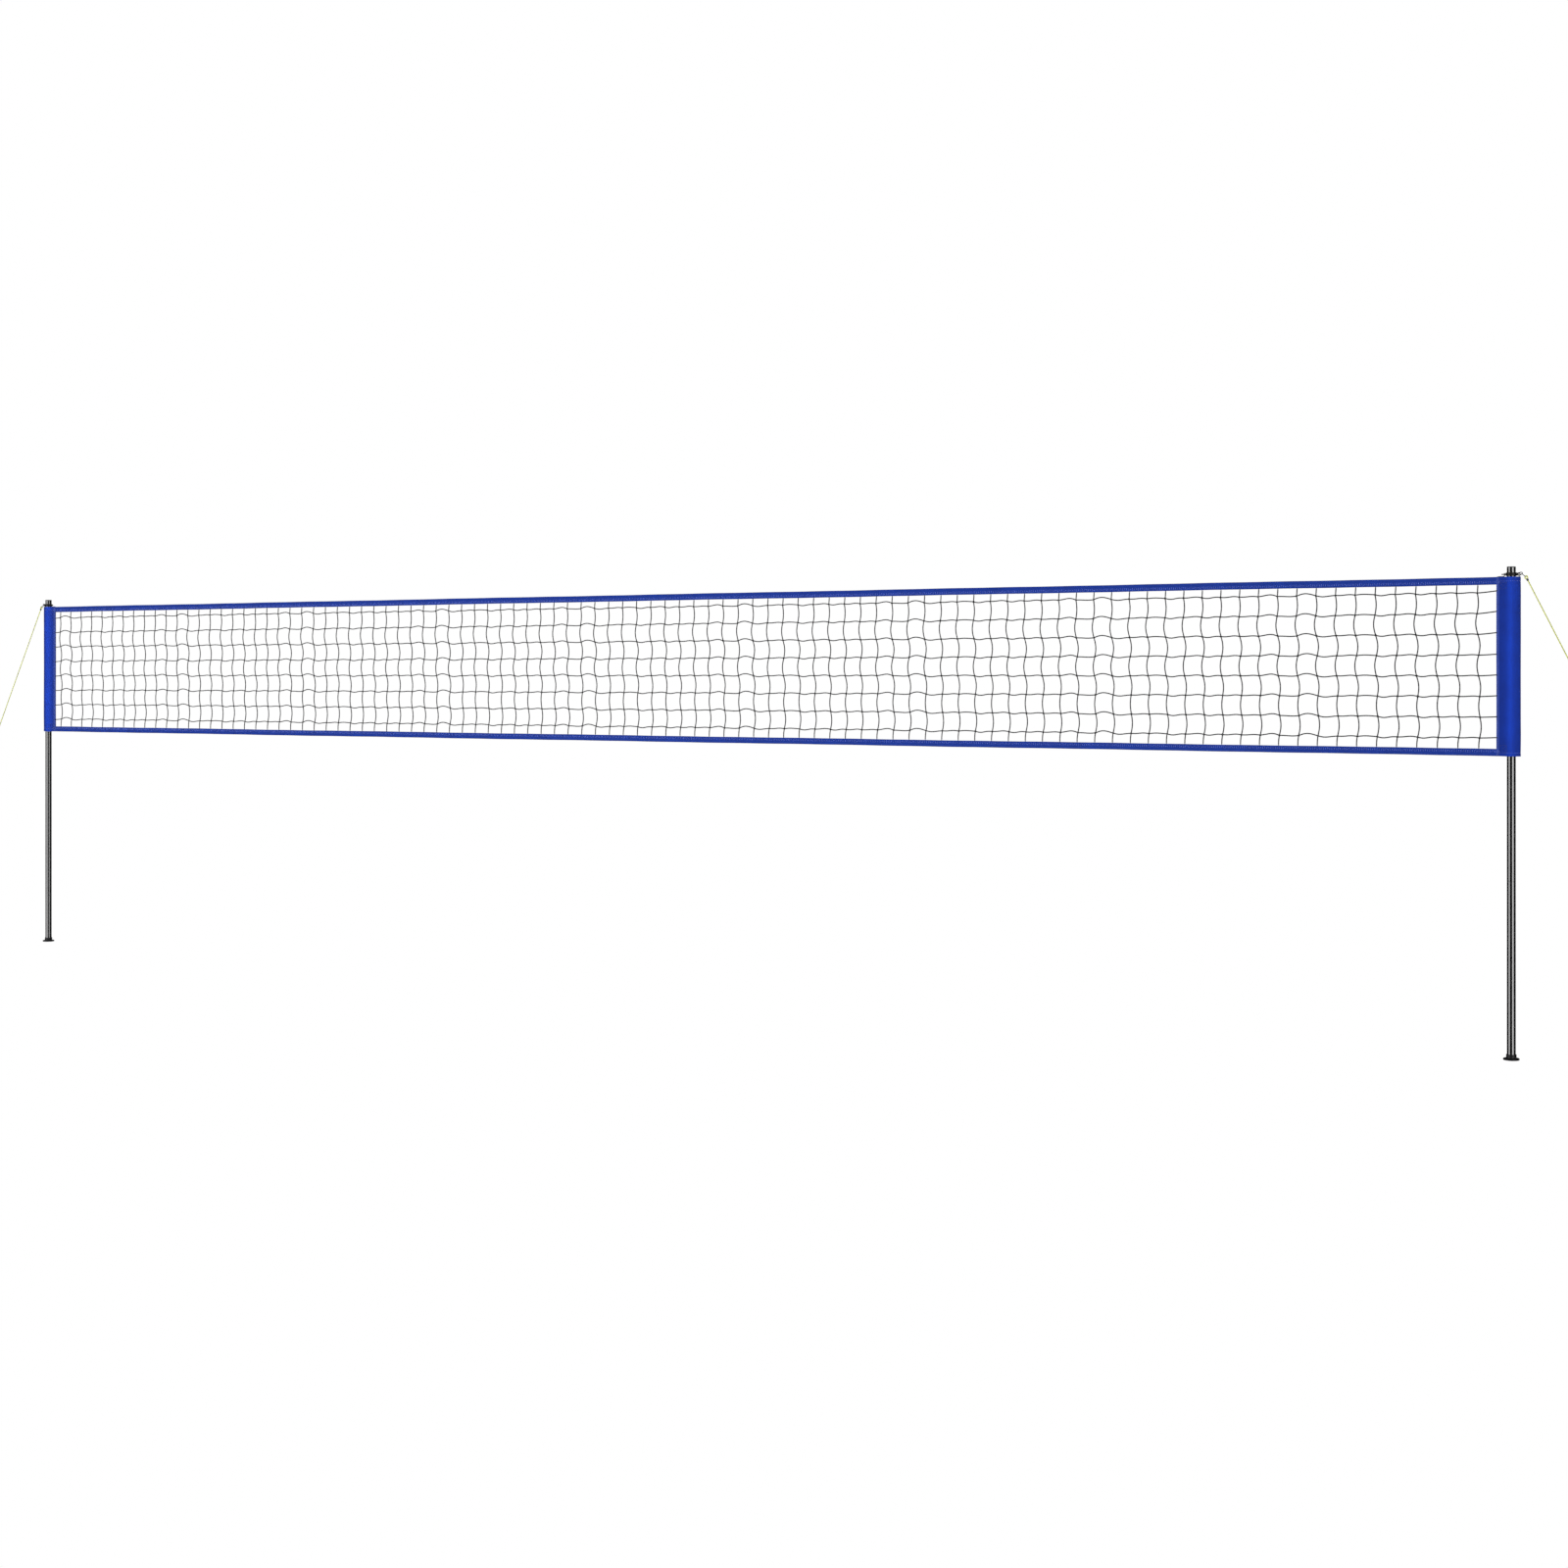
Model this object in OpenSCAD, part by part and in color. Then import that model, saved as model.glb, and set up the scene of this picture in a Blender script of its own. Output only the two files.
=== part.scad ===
// Portable volleyball net on two sectional steel poles, with one guy line at each pole.
// +X runs along the net, +Z is up, and the origin is on the ground midway between the poles.
// Pole parts are drawn about their own pole's axis with +X pointing away from the net,
// and the left pole is the mirror image of the right one.

/* [Net] */
// Length of the net between the outer edges of its end sleeves
net_length = 9750; // [8500:50:11000]
// Height of the net's top edge above the ground at the lowest setting
net_top = 2243; // [2200:1:2245]
// Height of the net from its bottom edge to its top edge
net_height = 834; // [790:1:880]
// Side of one mesh, from knot to knot
mesh_size = 96.85; // [90:0.05:105]
// Distance that the upright strings lie off the middle of the net
mesh_shift = -16; // [-30:1:30]
// Drop from the net's top edge to the first level string
first_string_drop = 73; // [60:1:90]
// Diameter of the netting twine
twine_d = 4.5; // [2:0.5:5]
// Knots across one knot square
knot_w = 9; // [6:0.5:12]
// Meshes spanned between two drawn upright strings
drawn_meshes = 3; // [3:1:8]

/* [Tapes] */
// Height of the top tape
top_tape_h = 33; // [25:1:45]
// Height of the bottom tape
bottom_tape_h = 31; // [25:1:45]
// Thickness of the folded tape
tape_t = 3.2; // [2.4:0.1:4]
// Diameter of the ropes that run inside the tapes
net_rope_d = 4; // [3:0.5:5]
// Wall of cloth round those ropes
hem_wall = 1.9; // [1.2:0.1:2.5]

/* [End sleeves] */
// Reach of a sleeve from the pole's axis away from the net
sleeve_out = 43; // [38:1:50]
// Reach of a sleeve from the pole's axis towards the net
sleeve_in = 67; // [62:1:80]
// Thickness of the sleeve's cloth
sleeve_t = 1.2; // [0.8:0.1:1.5]
// Room between the pole and the sleeve
sleeve_ease = 1.8; // [1.6:0.1:2.6]
// Width of the seam that closes a sleeve on the net's side
seam_w = 8; // [5:0.5:12]

/* [Poles] */
// Height of the top of each pole at the lowest setting
pole_top = 2290; // [2284:1:2340]
// Outer diameter of the pole tubes
tube_d = 40; // [38:0.5:42]
// Wall of the pole tubes
tube_t = 1.5; // [1.2:0.1:2]
// Room round the swaged end of a tube in the tube that takes it
swage_gap = 0.3; // [0.2:0.05:0.5]
// Height of the joint between the bottom and middle tubes
bottom_joint_z = 830; // [700:5:1000]
// Length of the middle tube's swaged end
bottom_swage = 90; // [60:5:140]
// Height of the joint between the middle and upper tubes
upper_joint_z = 1650; // [1645:5:1700]
// Length of the upper tube's swaged end
upper_swage = 350; // [300:5:400]
// Length over which a tube tapers to its swaged end
swage_taper = 12; // [8:1:20]
// Thickness of the top cap's rim
cap_rim = 3; // [2:0.5:5]
// Depth of the top cap's plug in the tube
cap_plug = 14; // [8:1:20]

/* [Height lock] */
// Rise of the net from its lowest to its highest setting
height_travel = 190; // [180:1:192]
// Holes in the middle tube, one for each setting
lock_holes = 7; // [7:1:7]
// Height of the lowest hole
button_z = 1440; // [1435:1:1442]
// Diameter of the snap button
button_d = 8; // [6:0.5:9]
// Room round the snap button in its holes
button_gap = 0.3; // [0.2:0.05:0.5]
// Height of the snap button above the tube
button_proud = 1.2; // [0.8:0.1:1.2]
// Thickness of the button's spring strip
spring_t = 0.8; // [0.6:0.1:1]

/* [Feet] */
// Diameter of the foot
foot_d = 74; // [70:1:110]
// Thickness of the rubber pad
pad_t = 3; // [2:0.5:5]
// Thickness of the foot's flange
flange_t = 5; // [4:0.5:8]
// Thickness of the web under the tube
web_t = 3; // [2:0.5:4]
// Outer diameter of the foot's socket
socket_d = 47; // [46:0.5:52]
// Height of the top of the socket
socket_top = 26; // [24:1:50]
// Room round the tube in the socket and in the collar
fit_gap = 0.15; // [0.1:0.05:0.3]

/* [Guy collar] */
// Height of the collar's middle above the net's top edge
collar_rise = 11.5; // [11:0.5:13]
// Height of the collar
collar_h = 16; // [14:0.5:18]
// Outer diameter of the collar
collar_d = 49; // [48:0.5:54]
// Thickness of the wing that carries the eye
wing_t = 3; // [2.5:0.5:3.5]
// Distance of the eye from the pole's axis
eye_out = 44.5; // [44:0.5:52]
// Diameter of the eye
eye_d = 8; // [7.5:0.5:9]
// Width of the wing's rim round the eye
eye_rim = 3; // [2.5:0.25:4]
// Distance of the tie's hole from the pole's axis
tie_out = 35.5; // [33:0.5:35.5]
// Diameter of the tie's hole
tie_hole_d = 6; // [5:0.5:6.5]
// Diameter of the corner tie
tie_d = 2.4; // [2:0.1:2.8]
// Diameter of the prong that holds the net's head rope
prong_d = 5; // [4:0.5:6]
// Reach of the prong from the pole's axis
prong_out = 46; // [44:1:56]
// Distance of the head rope's end loop from the pole's axis
rope_loop_out = 31; // [30:0.5:36]

/* [Guy lines] */
// Diameter of the hook's wire
wire_d = 3; // [2.5:0.25:3.5]
// Radius of the hook's two bends, to the wire's middle
hook_r = 6; // [5.5:0.25:7]
// Reach of the hook from the eye, away from the net
hook_reach = 22.5; // [20:0.5:30]
// Drop of the hook from the eye
hook_drop = 17; // [14:0.5:24]
// Diameter of the guy rope
guy_d = 5; // [4:0.5:6]
// Radius of the rope's eye round the hook
rope_eye_r = 6; // [5.5:0.25:8]
// Length of the rope's eye below the hook
rope_eye_l = 8; // [7:0.5:14]
// Diameter of the ferrule that closes the rope's eye
ferrule_d = 10; // [9.5:0.5:13]
// Diameter of the knot at the rope's lower end
knot_d = 14; // [12:1:18]
// Radius of the loop at the rope's lower end
end_loop_r = 15; // [12:1:22]

/* [Hidden] */
$fn = 64;
over = 1;             // how far a cut runs past what it cuts
flat_gap = 0.3;       // gap between faces of pieces that move apart
close_gap = 0.15;     // gap between curved pieces that rest on each other

pole_x = net_length / 2 - sleeve_out;
net_bottom = net_top - net_height;
inner_edge = pole_x - sleeve_in;
tube_r = tube_d / 2;
tube_in_r = tube_r - tube_t;
swage_r = tube_in_r - swage_gap;
swage_in_r = swage_r - tube_t;
tube_seat_z = pad_t + web_t;
screw_z = (tube_seat_z + socket_top) / 2 + over;
hem_r = net_rope_d / 2 + close_gap + hem_wall;
hem_bore_r = net_rope_d / 2 + close_gap;
head_rope_z = net_top - hem_r;
bottom_rope_z = net_bottom + hem_r;
collar_z = net_top + collar_rise;
eye_z = collar_z + 3.5;
tie_z = collar_z - 1.1;
hole_pitch = height_travel / (lock_holes - 1);
screw_r = 2;
screw_room = 0.2;

// The hook's upper bend bears on the eye's rim, and the rope's eye bears on its lower bend.
hook_len = norm([hook_reach, hook_drop]);
hook_tilt = atan2(hook_drop, hook_reach);
hook_end = [eye_out + hook_reach, eye_z - hook_drop];
bend_in_r = hook_r - wire_d / 2;
top_bend = eye_d / 2 - close_gap + sqrt(bend_in_r * bend_in_r - wing_t * wing_t / 4);
ring_slack = rope_eye_r - guy_d / 2 - wire_d / 2 - close_gap;

// Middle line of each guy rope, out from the pole's axis and up from the ground.
right_route = [
    [76, 2223], [90, 2195], [104, 2167], [118, 2139], [132, 2111],
    [146, 2083], [160, 2055], [174, 2027], [188, 1999], [202, 1971],
    [216, 1943], [230, 1915], [244, 1887], [258, 1859], [272, 1831]
];
left_route = [
    [76, 2223], [102, 2172], [128, 2121], [154, 2070], [180, 2019], [206, 1968],
    [232, 1917], [258, 1866], [284, 1815], [310, 1764], [336, 1713], [362, 1662],
    [388, 1611], [414, 1560], [440, 1509], [466, 1458], [492, 1407]
];

function unit(v) = v / norm(v);
function tilt_of(v) = atan2(-v[1], v[0]);

module right_side() translate([pole_x, 0, 0]) children();
module left_side() mirror([1, 0, 0]) right_side() children();

// A shape drawn flat, x out and y up, stood upright in the XZ plane with its thickness along Y.
module upright(thickness) rotate([90, 0, 0]) linear_extrude(thickness, center = true) children();

// --- Feet ---

module foot_pad() color("#17181a")
    rotate_extrude() polygon([
        [0, 0], [foot_d / 2 - 1, 0], [foot_d / 2, 1], [foot_d / 2, pad_t], [0, pad_t]
    ]);

module foot_base() color("#101113") {
    top = pad_t + flange_t;
    bore_r = tube_r + fit_gap;
    difference() {
        rotate_extrude() polygon([
            [0, pad_t], [foot_d / 2, pad_t], [foot_d / 2, top - 2], [foot_d / 2 - 2, top],
            [socket_d / 2 + 3, top], [socket_d / 2, top + 3], [socket_d / 2, socket_top - 1],
            [socket_d / 2 - 1, socket_top], [bore_r, socket_top], [bore_r, tube_seat_z],
            [0, tube_seat_z]
        ]);
        screw_hole(socket_d / 2);
    }
}

// Radial hole at the back of a pole for a screw whose head lies on radius r.
module screw_hole(r, z = screw_z)
    translate([0, tube_in_r - over, z]) rotate([-90, 0, 0])
        cylinder(r = screw_r + screw_room, h = r - tube_in_r + 2 * over);

// Pan-head screw pointing at the pole's axis, its head seated on radius r.
module pan_screw(r, tip_r, z)
    translate([0, r + close_gap, z]) rotate([-90, 0, 0]) {
        translate([0, 0, tip_r - r]) cylinder(r = screw_r, h = r - tip_r);
        difference() {
            rotate_extrude() polygon([[0, 0], [3.8, 0], [3.8, 1.2], [2.6, 2.2], [0, 2.2]]);
            translate([0, 0, 1.2]) for (turn = [0, 90]) rotate(turn)
                translate([-2, -0.4, 0]) cube([4, 0.8, 2]);
        }
    }

module foot_screw() color("#9a9da1") pan_screw(socket_d / 2, tube_in_r - over, screw_z);

// --- Pole tubes ---

// Tube whose lower end is drawn in from z_joint down to z_low, to plug into the tube below.
module swaged_tube(z_low, z_joint, z_top) rotate_extrude() polygon([
    [swage_in_r, z_low], [swage_r, z_low], [swage_r, z_joint], [tube_r, z_joint],
    [tube_r, z_top], [tube_in_r, z_top], [tube_in_r, z_joint + swage_taper],
    [swage_in_r, z_joint]
]);

module bottom_tube() color("#0c0d0f") difference() {
    rotate_extrude() polygon([
        [tube_in_r, tube_seat_z], [tube_r, tube_seat_z],
        [tube_r, bottom_joint_z], [tube_in_r, bottom_joint_z]
    ]);
    screw_hole(tube_r);
}

// Round hole through the front wall of a tube for the snap button.
module button_hole(z) translate([0, 0, z]) rotate([90, 0, 0])
    cylinder(r = button_d / 2 + button_gap, h = tube_r + over);

module middle_tube() color("#0c0d0f") difference() {
    swaged_tube(bottom_joint_z - bottom_swage, bottom_joint_z, upper_joint_z);
    for (k = [0 : lock_holes - 1]) button_hole(button_z + k * hole_pitch);
}

module upper_tube() color("#0c0d0f") difference() {
    swaged_tube(upper_joint_z - upper_swage, upper_joint_z + flat_gap, pole_top - cap_rim);
    button_hole(button_z);
}

module glide_bush() color("#dcdcd6") {
    top = upper_joint_z - upper_swage;
    rotate_extrude() polygon([
        [11, top - 5], [tube_in_r - 1.2, top - 5], [tube_in_r - close_gap, top - 4],
        [tube_in_r - close_gap, top], [swage_in_r - close_gap, top],
        [swage_in_r - close_gap, top + 12], [swage_in_r - 2, top + 12], [11, top + 3]
    ]);
}

module top_cap() color("#121316") {
    rim = pole_top - cap_rim;
    plug_r = tube_in_r - close_gap;
    rotate_extrude() polygon([
        [0, rim], [plug_r - 2, rim], [plug_r - 2, rim - cap_plug], [plug_r, rim - cap_plug],
        [plug_r, rim], [tube_r, rim], [tube_r, pole_top - 1], [tube_r - 1, pole_top],
        [0, pole_top]
    ]);
}

// --- Height lock ---

flange_r = button_d / 2 + 2;
flange_front = sqrt(swage_in_r * swage_in_r - flange_r * flange_r) - flat_gap;
flange_back = flange_front - 2;
button_tip = tube_r + button_proud;

module snap_button() color("#b9bcc0")
    translate([0, 0, button_z]) rotate([90, 0, 0]) rotate_extrude() polygon([
        [0, flange_back], [flange_r, flange_back], [flange_r, flange_front],
        [button_d / 2, flange_front], [button_d / 2, button_tip - 1.6],
        [button_d / 2 - 0.6, button_tip - 0.6], [button_d / 2 - 1.8, button_tip],
        [0, button_tip]
    ]);

// Outline of a strip of thickness t whose middle line runs along a route of points.
function ribbon(route, t) = let (
    last = len(route) - 1,
    side = [for (i = [0 : last])
        let (run = unit(route[min(i + 1, last)] - route[max(i - 1, 0)])) [-run[1], run[0]] * t / 2]
) concat(
    [for (i = [0 : last]) route[i] + side[i]],
    [for (i = [last : -1 : 0]) route[i] - side[i]]
);

// Spring strip folded into a V, with a pad behind the button and one on the back wall.
module button_spring() color("#8f9296") {
    strip_w = button_d + 1;
    fold_r = 2.6;
    fold_z = -40;
    front = spring_t / 2 + close_gap - flange_back;
    back_wall = sqrt(swage_in_r * swage_in_r - strip_w * strip_w / 4);
    back = back_wall - close_gap - spring_t / 2;
    fold = [for (a = [180 : 20 : 360]) [fold_r * cos(a), fold_z + fold_r * sin(a)]];
    route = concat([[front, 7], [front, -7]], fold, [[back, -4], [back, 8]]);
    translate([0, 0, button_z]) rotate([90, 0, 90])
        linear_extrude(strip_w, center = true) polygon(ribbon(route, spring_t));
}

// --- Guy collar, its hook and the rope ---

module guy_collar() color("#101113") {
    low = collar_z - collar_h / 2;
    high = collar_z + collar_h / 2;
    bore_r = tube_r + fit_gap;
    boss_r = prong_d / 2 + 2;
    plate_r = eye_d / 2 + eye_rim;
    difference() {
        union() {
            rotate_extrude() polygon([
                [bore_r, low], [collar_d / 2 - 1, low], [collar_d / 2, low + 1],
                [collar_d / 2, high - 1], [collar_d / 2 - 1, high], [bore_r, high]
            ]);
            upright(wing_t) {
                translate([eye_out, eye_z]) circle(r = plate_r);
                polygon([
                    [tube_r + 2, low + 1], [tie_out + tie_hole_d / 2, low + 0.5],
                    [eye_out + 2, eye_z - plate_r + 0.6], [eye_out - 1, eye_z + plate_r - 0.2],
                    [tie_out - 4, high - 1], [tube_r + 2, high - 1.5]
                ]);
            }
            translate([0, 0, collar_z]) rotate([0, -90, 0]) {
                cylinder(r = boss_r, h = collar_d / 2 + 2);
                cylinder(r = prong_d / 2, h = prong_out - 4);
                translate([0, 0, prong_out - 4]) cylinder(r1 = prong_d / 2, r2 = 1, h = 4);
            }
        }
        translate([0, 0, low - over]) cylinder(r = bore_r, h = collar_h + 2 * over);
        upright(wing_t + 2 * over) {
            translate([eye_out, eye_z]) circle(d = eye_d);
            translate([tie_out, tie_z]) circle(d = tie_hole_d);
        }
        screw_hole(collar_d / 2, collar_z);
    }
}

module collar_screw() color("#9a9da1") pan_screw(collar_d / 2, tube_r + close_gap, collar_z);

// Half ring of wire about the Y-up line of its own frame, open towards -Y.
module wire_bend(r, wire_r) rotate_extrude(angle = 180) translate([r, 0]) circle(r = wire_r);

// S-hook: drawn hanging along +X from its upper bend, with the bends in the XY plane.
module guy_hook() color("#a9acb0") {
    $fn = 24;
    low_bend = hook_len - hook_r;
    shank = [low_bend - top_bend, -2 * hook_r];
    translate([eye_out, 0, eye_z]) rotate([0, hook_tilt, 0]) {
        translate([top_bend, 0, 0]) rotate(90) wire_bend(hook_r, wire_d / 2);
        translate([low_bend, 0, 0]) rotate(-90) wire_bend(hook_r, wire_d / 2);
        translate([top_bend, hook_r, 0]) rotate(atan2(shank[1], shank[0])) rotate([0, 90, 0])
            cylinder(d = wire_d, h = norm(shank));
        for (side = [[top_bend, hook_r], [low_bend, -hook_r]])
            translate([side[0], side[1], 0]) sphere(d = wire_d);
        for (tip = [[top_bend, -hook_r, 1], [low_bend, hook_r, -1]])
            translate([tip[0], tip[1], 0]) rotate([0, tip[2] * 90, 0]) {
                cylinder(d = wire_d, h = 3);
                translate([0, 0, 3]) sphere(d = wire_d);
            }
    }
}

// Frame at the middle of the rope's eye, with +X running to the start of the rope.
module along_rope(route) translate([hook_end[0], 0, hook_end[1]])
    rotate([0, tilt_of(route[0] - hook_end), 0]) translate([ring_slack, 0, 0]) children();

module rope_eye(route) color("#b4ba4c") along_rope(route) {
    leg = [rope_eye_l, guy_d / 2 - rope_eye_r];
    difference() {
        rotate([90, 0, 0]) union() {
            rotate(90) wire_bend(rope_eye_r, guy_d / 2);
            for (flip = [0, 1]) mirror([0, flip, 0])
                translate([0, rope_eye_r, 0]) rotate(atan2(leg[1], leg[0])) rotate([0, 90, 0])
                    translate([0, 0, -0.5]) cylinder(d = guy_d, h = norm(leg) + 5);
        }
        translate([rope_eye_l, -2 * rope_eye_r, -2 * rope_eye_r]) cube(4 * rope_eye_r);
    }
}

module rope_ferrule(route) color("#24262a") along_rope(route) {
    low = norm(route[0] - hook_end) - ring_slack;
    r = ferrule_d / 2;
    rotate([0, 90, 0]) rotate_extrude() polygon([
        [0, rope_eye_l], [r - 0.8, rope_eye_l], [r, rope_eye_l + 0.8],
        [r, low - 0.8], [r - 0.8, low], [0, low]
    ]);
}

// Tube swept along a route of [out, up] points: rings of equal sides joined by triangles.
sides = 8;
function swept_points(route, parts) = [
    for (i = [0 : len(route) - 2], k = [0 : parts - (i < len(route) - 2 ? 1 : 0)])
        route[i] + (route[i + 1] - route[i]) * k / parts
];
module swept_tube(route, parts, d) {
    path = swept_points(route, parts);
    last = len(path) - 1;
    across = [for (i = [0 : last])
        let (run = unit(path[min(i + 1, last)] - path[max(i - 1, 0)])) [-run[1], run[0]]];
    rings = [for (i = [0 : last], s = [0 : sides - 1])
        let (a = 360 * s / sides, side = across[i] * cos(a) * d / 2)
            [path[i][0] + side[0], sin(a) * d / 2, path[i][1] + side[1]]];
    walls = [for (i = [0 : last - 1], s = [0 : sides - 1], half = [0, 1])
        let (n = (s + 1) % sides, a = i * sides, b = a + sides)
            half == 0 ? [a + s, a + n, b + n] : [a + s, b + n, b + s]];
    caps = [for (s = [1 : sides - 2]) each [
        [0, s + 1, s], [last * sides, last * sides + s, last * sides + s + 1]]];
    polyhedron(points = rings, faces = concat(walls, caps));
}

module right_rope_route() color("#b4ba4c") swept_tube(right_route, 2, guy_d);
module left_rope_route() color("#b4ba4c") swept_tube(left_route, 3, guy_d);

// Knot and loop at the lower end of a rope, where a ground peg takes hold.
module rope_end_loop(route) color("#b4ba4c") {
    last = len(route) - 1;
    translate([route[last][0], 0, route[last][1]])
        rotate([0, tilt_of(route[last] - route[last - 1]), 0]) {
        difference() {
            translate([knot_d / 2 - 0.8, 0, 0]) sphere(d = knot_d);
            translate([-knot_d, -knot_d, -knot_d]) cube([knot_d, 2 * knot_d, 2 * knot_d]);
        }
        translate([knot_d + end_loop_r - 2, 0, 0]) rotate([90, 0, 0])
            rotate_extrude() translate([end_loop_r, 0]) circle(d = guy_d);
    }
}

// --- End sleeves ---

// Point where a line from the sleeve's edge, a away on the axis, runs onto a circle of radius r.
function touch(r, a) = let (turn = acos(r / a)) [0.97 * r * cos(turn), 0.97 * r * sin(turn)];

// Cross-section of cloth drawn tight round a pole and flat to its two edges.
module lens(r, inner, outer, half_edge) {
    near = touch(r, inner);
    far = touch(r, outer);
    circle(r = r);
    polygon([
        [-inner, half_edge], [-near[0], near[1]], [far[0], far[1]], [outer, half_edge],
        [outer, -half_edge], [far[0], -far[1]], [-near[0], -near[1]], [-inner, -half_edge]
    ]);
}

sleeve_in_r = tube_r + sleeve_ease;
sleeve_r = sleeve_in_r + sleeve_t;
fold_w = sleeve_t * 1.5;

module end_sleeve() color("#1f3cae") difference() {
    union() {
        translate([0, 0, net_bottom]) linear_extrude(net_height)
            lens(sleeve_r, sleeve_in, sleeve_out, tape_t / 2);
        for (z = [head_rope_z, bottom_rope_z]) translate([-sleeve_in, 0, z])
            rotate([0, 90, 0]) cylinder(r = hem_r, h = 2 * seam_w);
    }
    translate([0, 0, net_bottom - over]) linear_extrude(net_height + 2 * over)
        lens(sleeve_in_r, sleeve_in - seam_w, sleeve_out - fold_w, flat_gap);
    for (z = [head_rope_z, bottom_rope_z]) translate([-sleeve_in - over, 0, z])
        rotate([0, 90, 0]) cylinder(r = hem_bore_r, h = 2.5 * seam_w);
}

// Half-widths of the sleeve's outside and inside at the corner tie, out from the pole.
function half_width(r, edge, half_edge) = let (t = touch(r, edge))
    half_edge + (t[1] - half_edge) * (edge - tie_out) / (edge - t[0]);
tie_y = (half_width(sleeve_r, sleeve_out, tape_t / 2)
    + half_width(sleeve_in_r, sleeve_out - fold_w, flat_gap)) / 2;

module corner_tie() color("#3b3f4a") {
    bend_in = tie_y - tie_d / 2;
    bend_z = tie_z - tie_hole_d / 2 + close_gap - sqrt(bend_in * bend_in - wing_t * wing_t / 4);
    translate([tie_out, 0, bend_z]) {
        rotate([90, 0, 90]) wire_bend(tie_y, tie_d / 2);
        for (y = [-tie_y, tie_y]) translate([0, y, 0]) mirror([0, 0, 1])
            cylinder(d = tie_d, h = bend_z - net_top);
    }
}

// --- Net ---

// Folded tape along the net: a flat band with a round hem over its rope.
module tape(band_low, band_high, rope_z) color("#23369f")
    rotate([90, 0, 90]) linear_extrude(2 * inner_edge, center = true) difference() {
        union() {
            translate([-tape_t / 2, band_low]) square([tape_t, band_high - band_low]);
            translate([0, rope_z]) circle(r = hem_r);
        }
        translate([0, rope_z]) circle(r = hem_bore_r);
    }

module top_tape() tape(net_top - top_tape_h, head_rope_z, head_rope_z);
module bottom_tape() tape(bottom_rope_z, net_bottom + bottom_tape_h, bottom_rope_z);

net_low = net_bottom + bottom_tape_h;
net_high = net_top - top_tape_h;
first_z = net_top - first_string_drop;
level_strings = floor((first_z - net_low - twine_d) / mesh_size) + 1;
drawn_pitch = drawn_meshes * mesh_size;
upright_strings = floor((2 * inner_edge - 2 * abs(mesh_shift) - mesh_size) / drawn_pitch) + 1;

module netting() color("#1c1d20") upright(twine_d) {
    xs = [for (i = [0 : upright_strings - 1])
        mesh_shift + (i - (upright_strings - 1) / 2) * drawn_pitch];
    zs = [for (j = [0 : level_strings - 1]) first_z - j * mesh_size];
    for (x = xs) translate([x - twine_d / 2, net_low]) square([twine_d, net_high - net_low]);
    for (z = zs) translate([-inner_edge, z - twine_d / 2]) square([2 * inner_edge, twine_d]);
    for (x = xs, z = zs) translate([x, z]) rotate(45) square(knot_w / sqrt(2), center = true);
}

// Rope inside the top tape, its ends brought up to loops over the collars' prongs.
module head_rope() color("#e6e6e0") {
    reach = pole_x - rope_loop_out;
    loop_r = prong_d / 2 + net_rope_d / 2 + flat_gap;
    translate([-reach, 0, head_rope_z]) rotate([0, 90, 0]) cylinder(d = net_rope_d, h = 2 * reach);
    for (side = [-1, 1]) {
        translate([side * reach, 0, head_rope_z]) sphere(d = net_rope_d);
        translate([side * reach, 0, head_rope_z])
            cylinder(d = net_rope_d, h = collar_z - loop_r - head_rope_z);
        translate([side * reach, 0, collar_z]) rotate([0, 90, 0])
            rotate_extrude() translate([loop_r, 0]) circle(d = net_rope_d);
    }
}

// Rope inside the bottom tape, stopped by a knot inside each sleeve.
module bottom_rope() color("#e6e6e0") {
    reach = inner_edge + 2.5 * seam_w;
    translate([-reach, 0, bottom_rope_z]) rotate([0, 90, 0]) cylinder(d = net_rope_d, h = 2 * reach);
    for (side = [-1, 1]) translate([side * reach, 0, bottom_rope_z]) sphere(d = net_rope_d + 1);
}

// --- One module for each node ---

module left_foot_pad() left_side() foot_pad();
module right_foot_pad() right_side() foot_pad();
module left_foot_base() left_side() foot_base();
module right_foot_base() right_side() foot_base();
module left_foot_screw() left_side() foot_screw();
module right_foot_screw() right_side() foot_screw();
module left_bottom_tube() left_side() bottom_tube();
module right_bottom_tube() right_side() bottom_tube();
module left_middle_tube() left_side() middle_tube();
module right_middle_tube() right_side() middle_tube();
module left_upper_tube() left_side() upper_tube();
module right_upper_tube() right_side() upper_tube();
module left_glide_bush() left_side() glide_bush();
module right_glide_bush() right_side() glide_bush();
module left_snap_button() left_side() snap_button();
module right_snap_button() right_side() snap_button();
module left_button_spring() left_side() button_spring();
module right_button_spring() right_side() button_spring();
module left_top_cap() left_side() top_cap();
module right_top_cap() right_side() top_cap();
module left_guy_collar() left_side() guy_collar();
module right_guy_collar() right_side() guy_collar();
module left_collar_screw() left_side() collar_screw();
module right_collar_screw() right_side() collar_screw();
module left_guy_hook() left_side() guy_hook();
module right_guy_hook() right_side() guy_hook();
module left_rope_eye() left_side() rope_eye(left_route);
module right_rope_eye() right_side() rope_eye(right_route);
module left_rope_ferrule() left_side() rope_ferrule(left_route);
module right_rope_ferrule() right_side() rope_ferrule(right_route);
module left_guy_rope() left_side() left_rope_route();
module right_guy_rope() right_side() right_rope_route();
module left_rope_end_loop() left_side() rope_end_loop(left_route);
module right_rope_end_loop() right_side() rope_end_loop(right_route);
module left_end_sleeve() left_side() end_sleeve();
module right_end_sleeve() right_side() end_sleeve();
module left_corner_tie() left_side() corner_tie();
module right_corner_tie() right_side() corner_tie();

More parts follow.
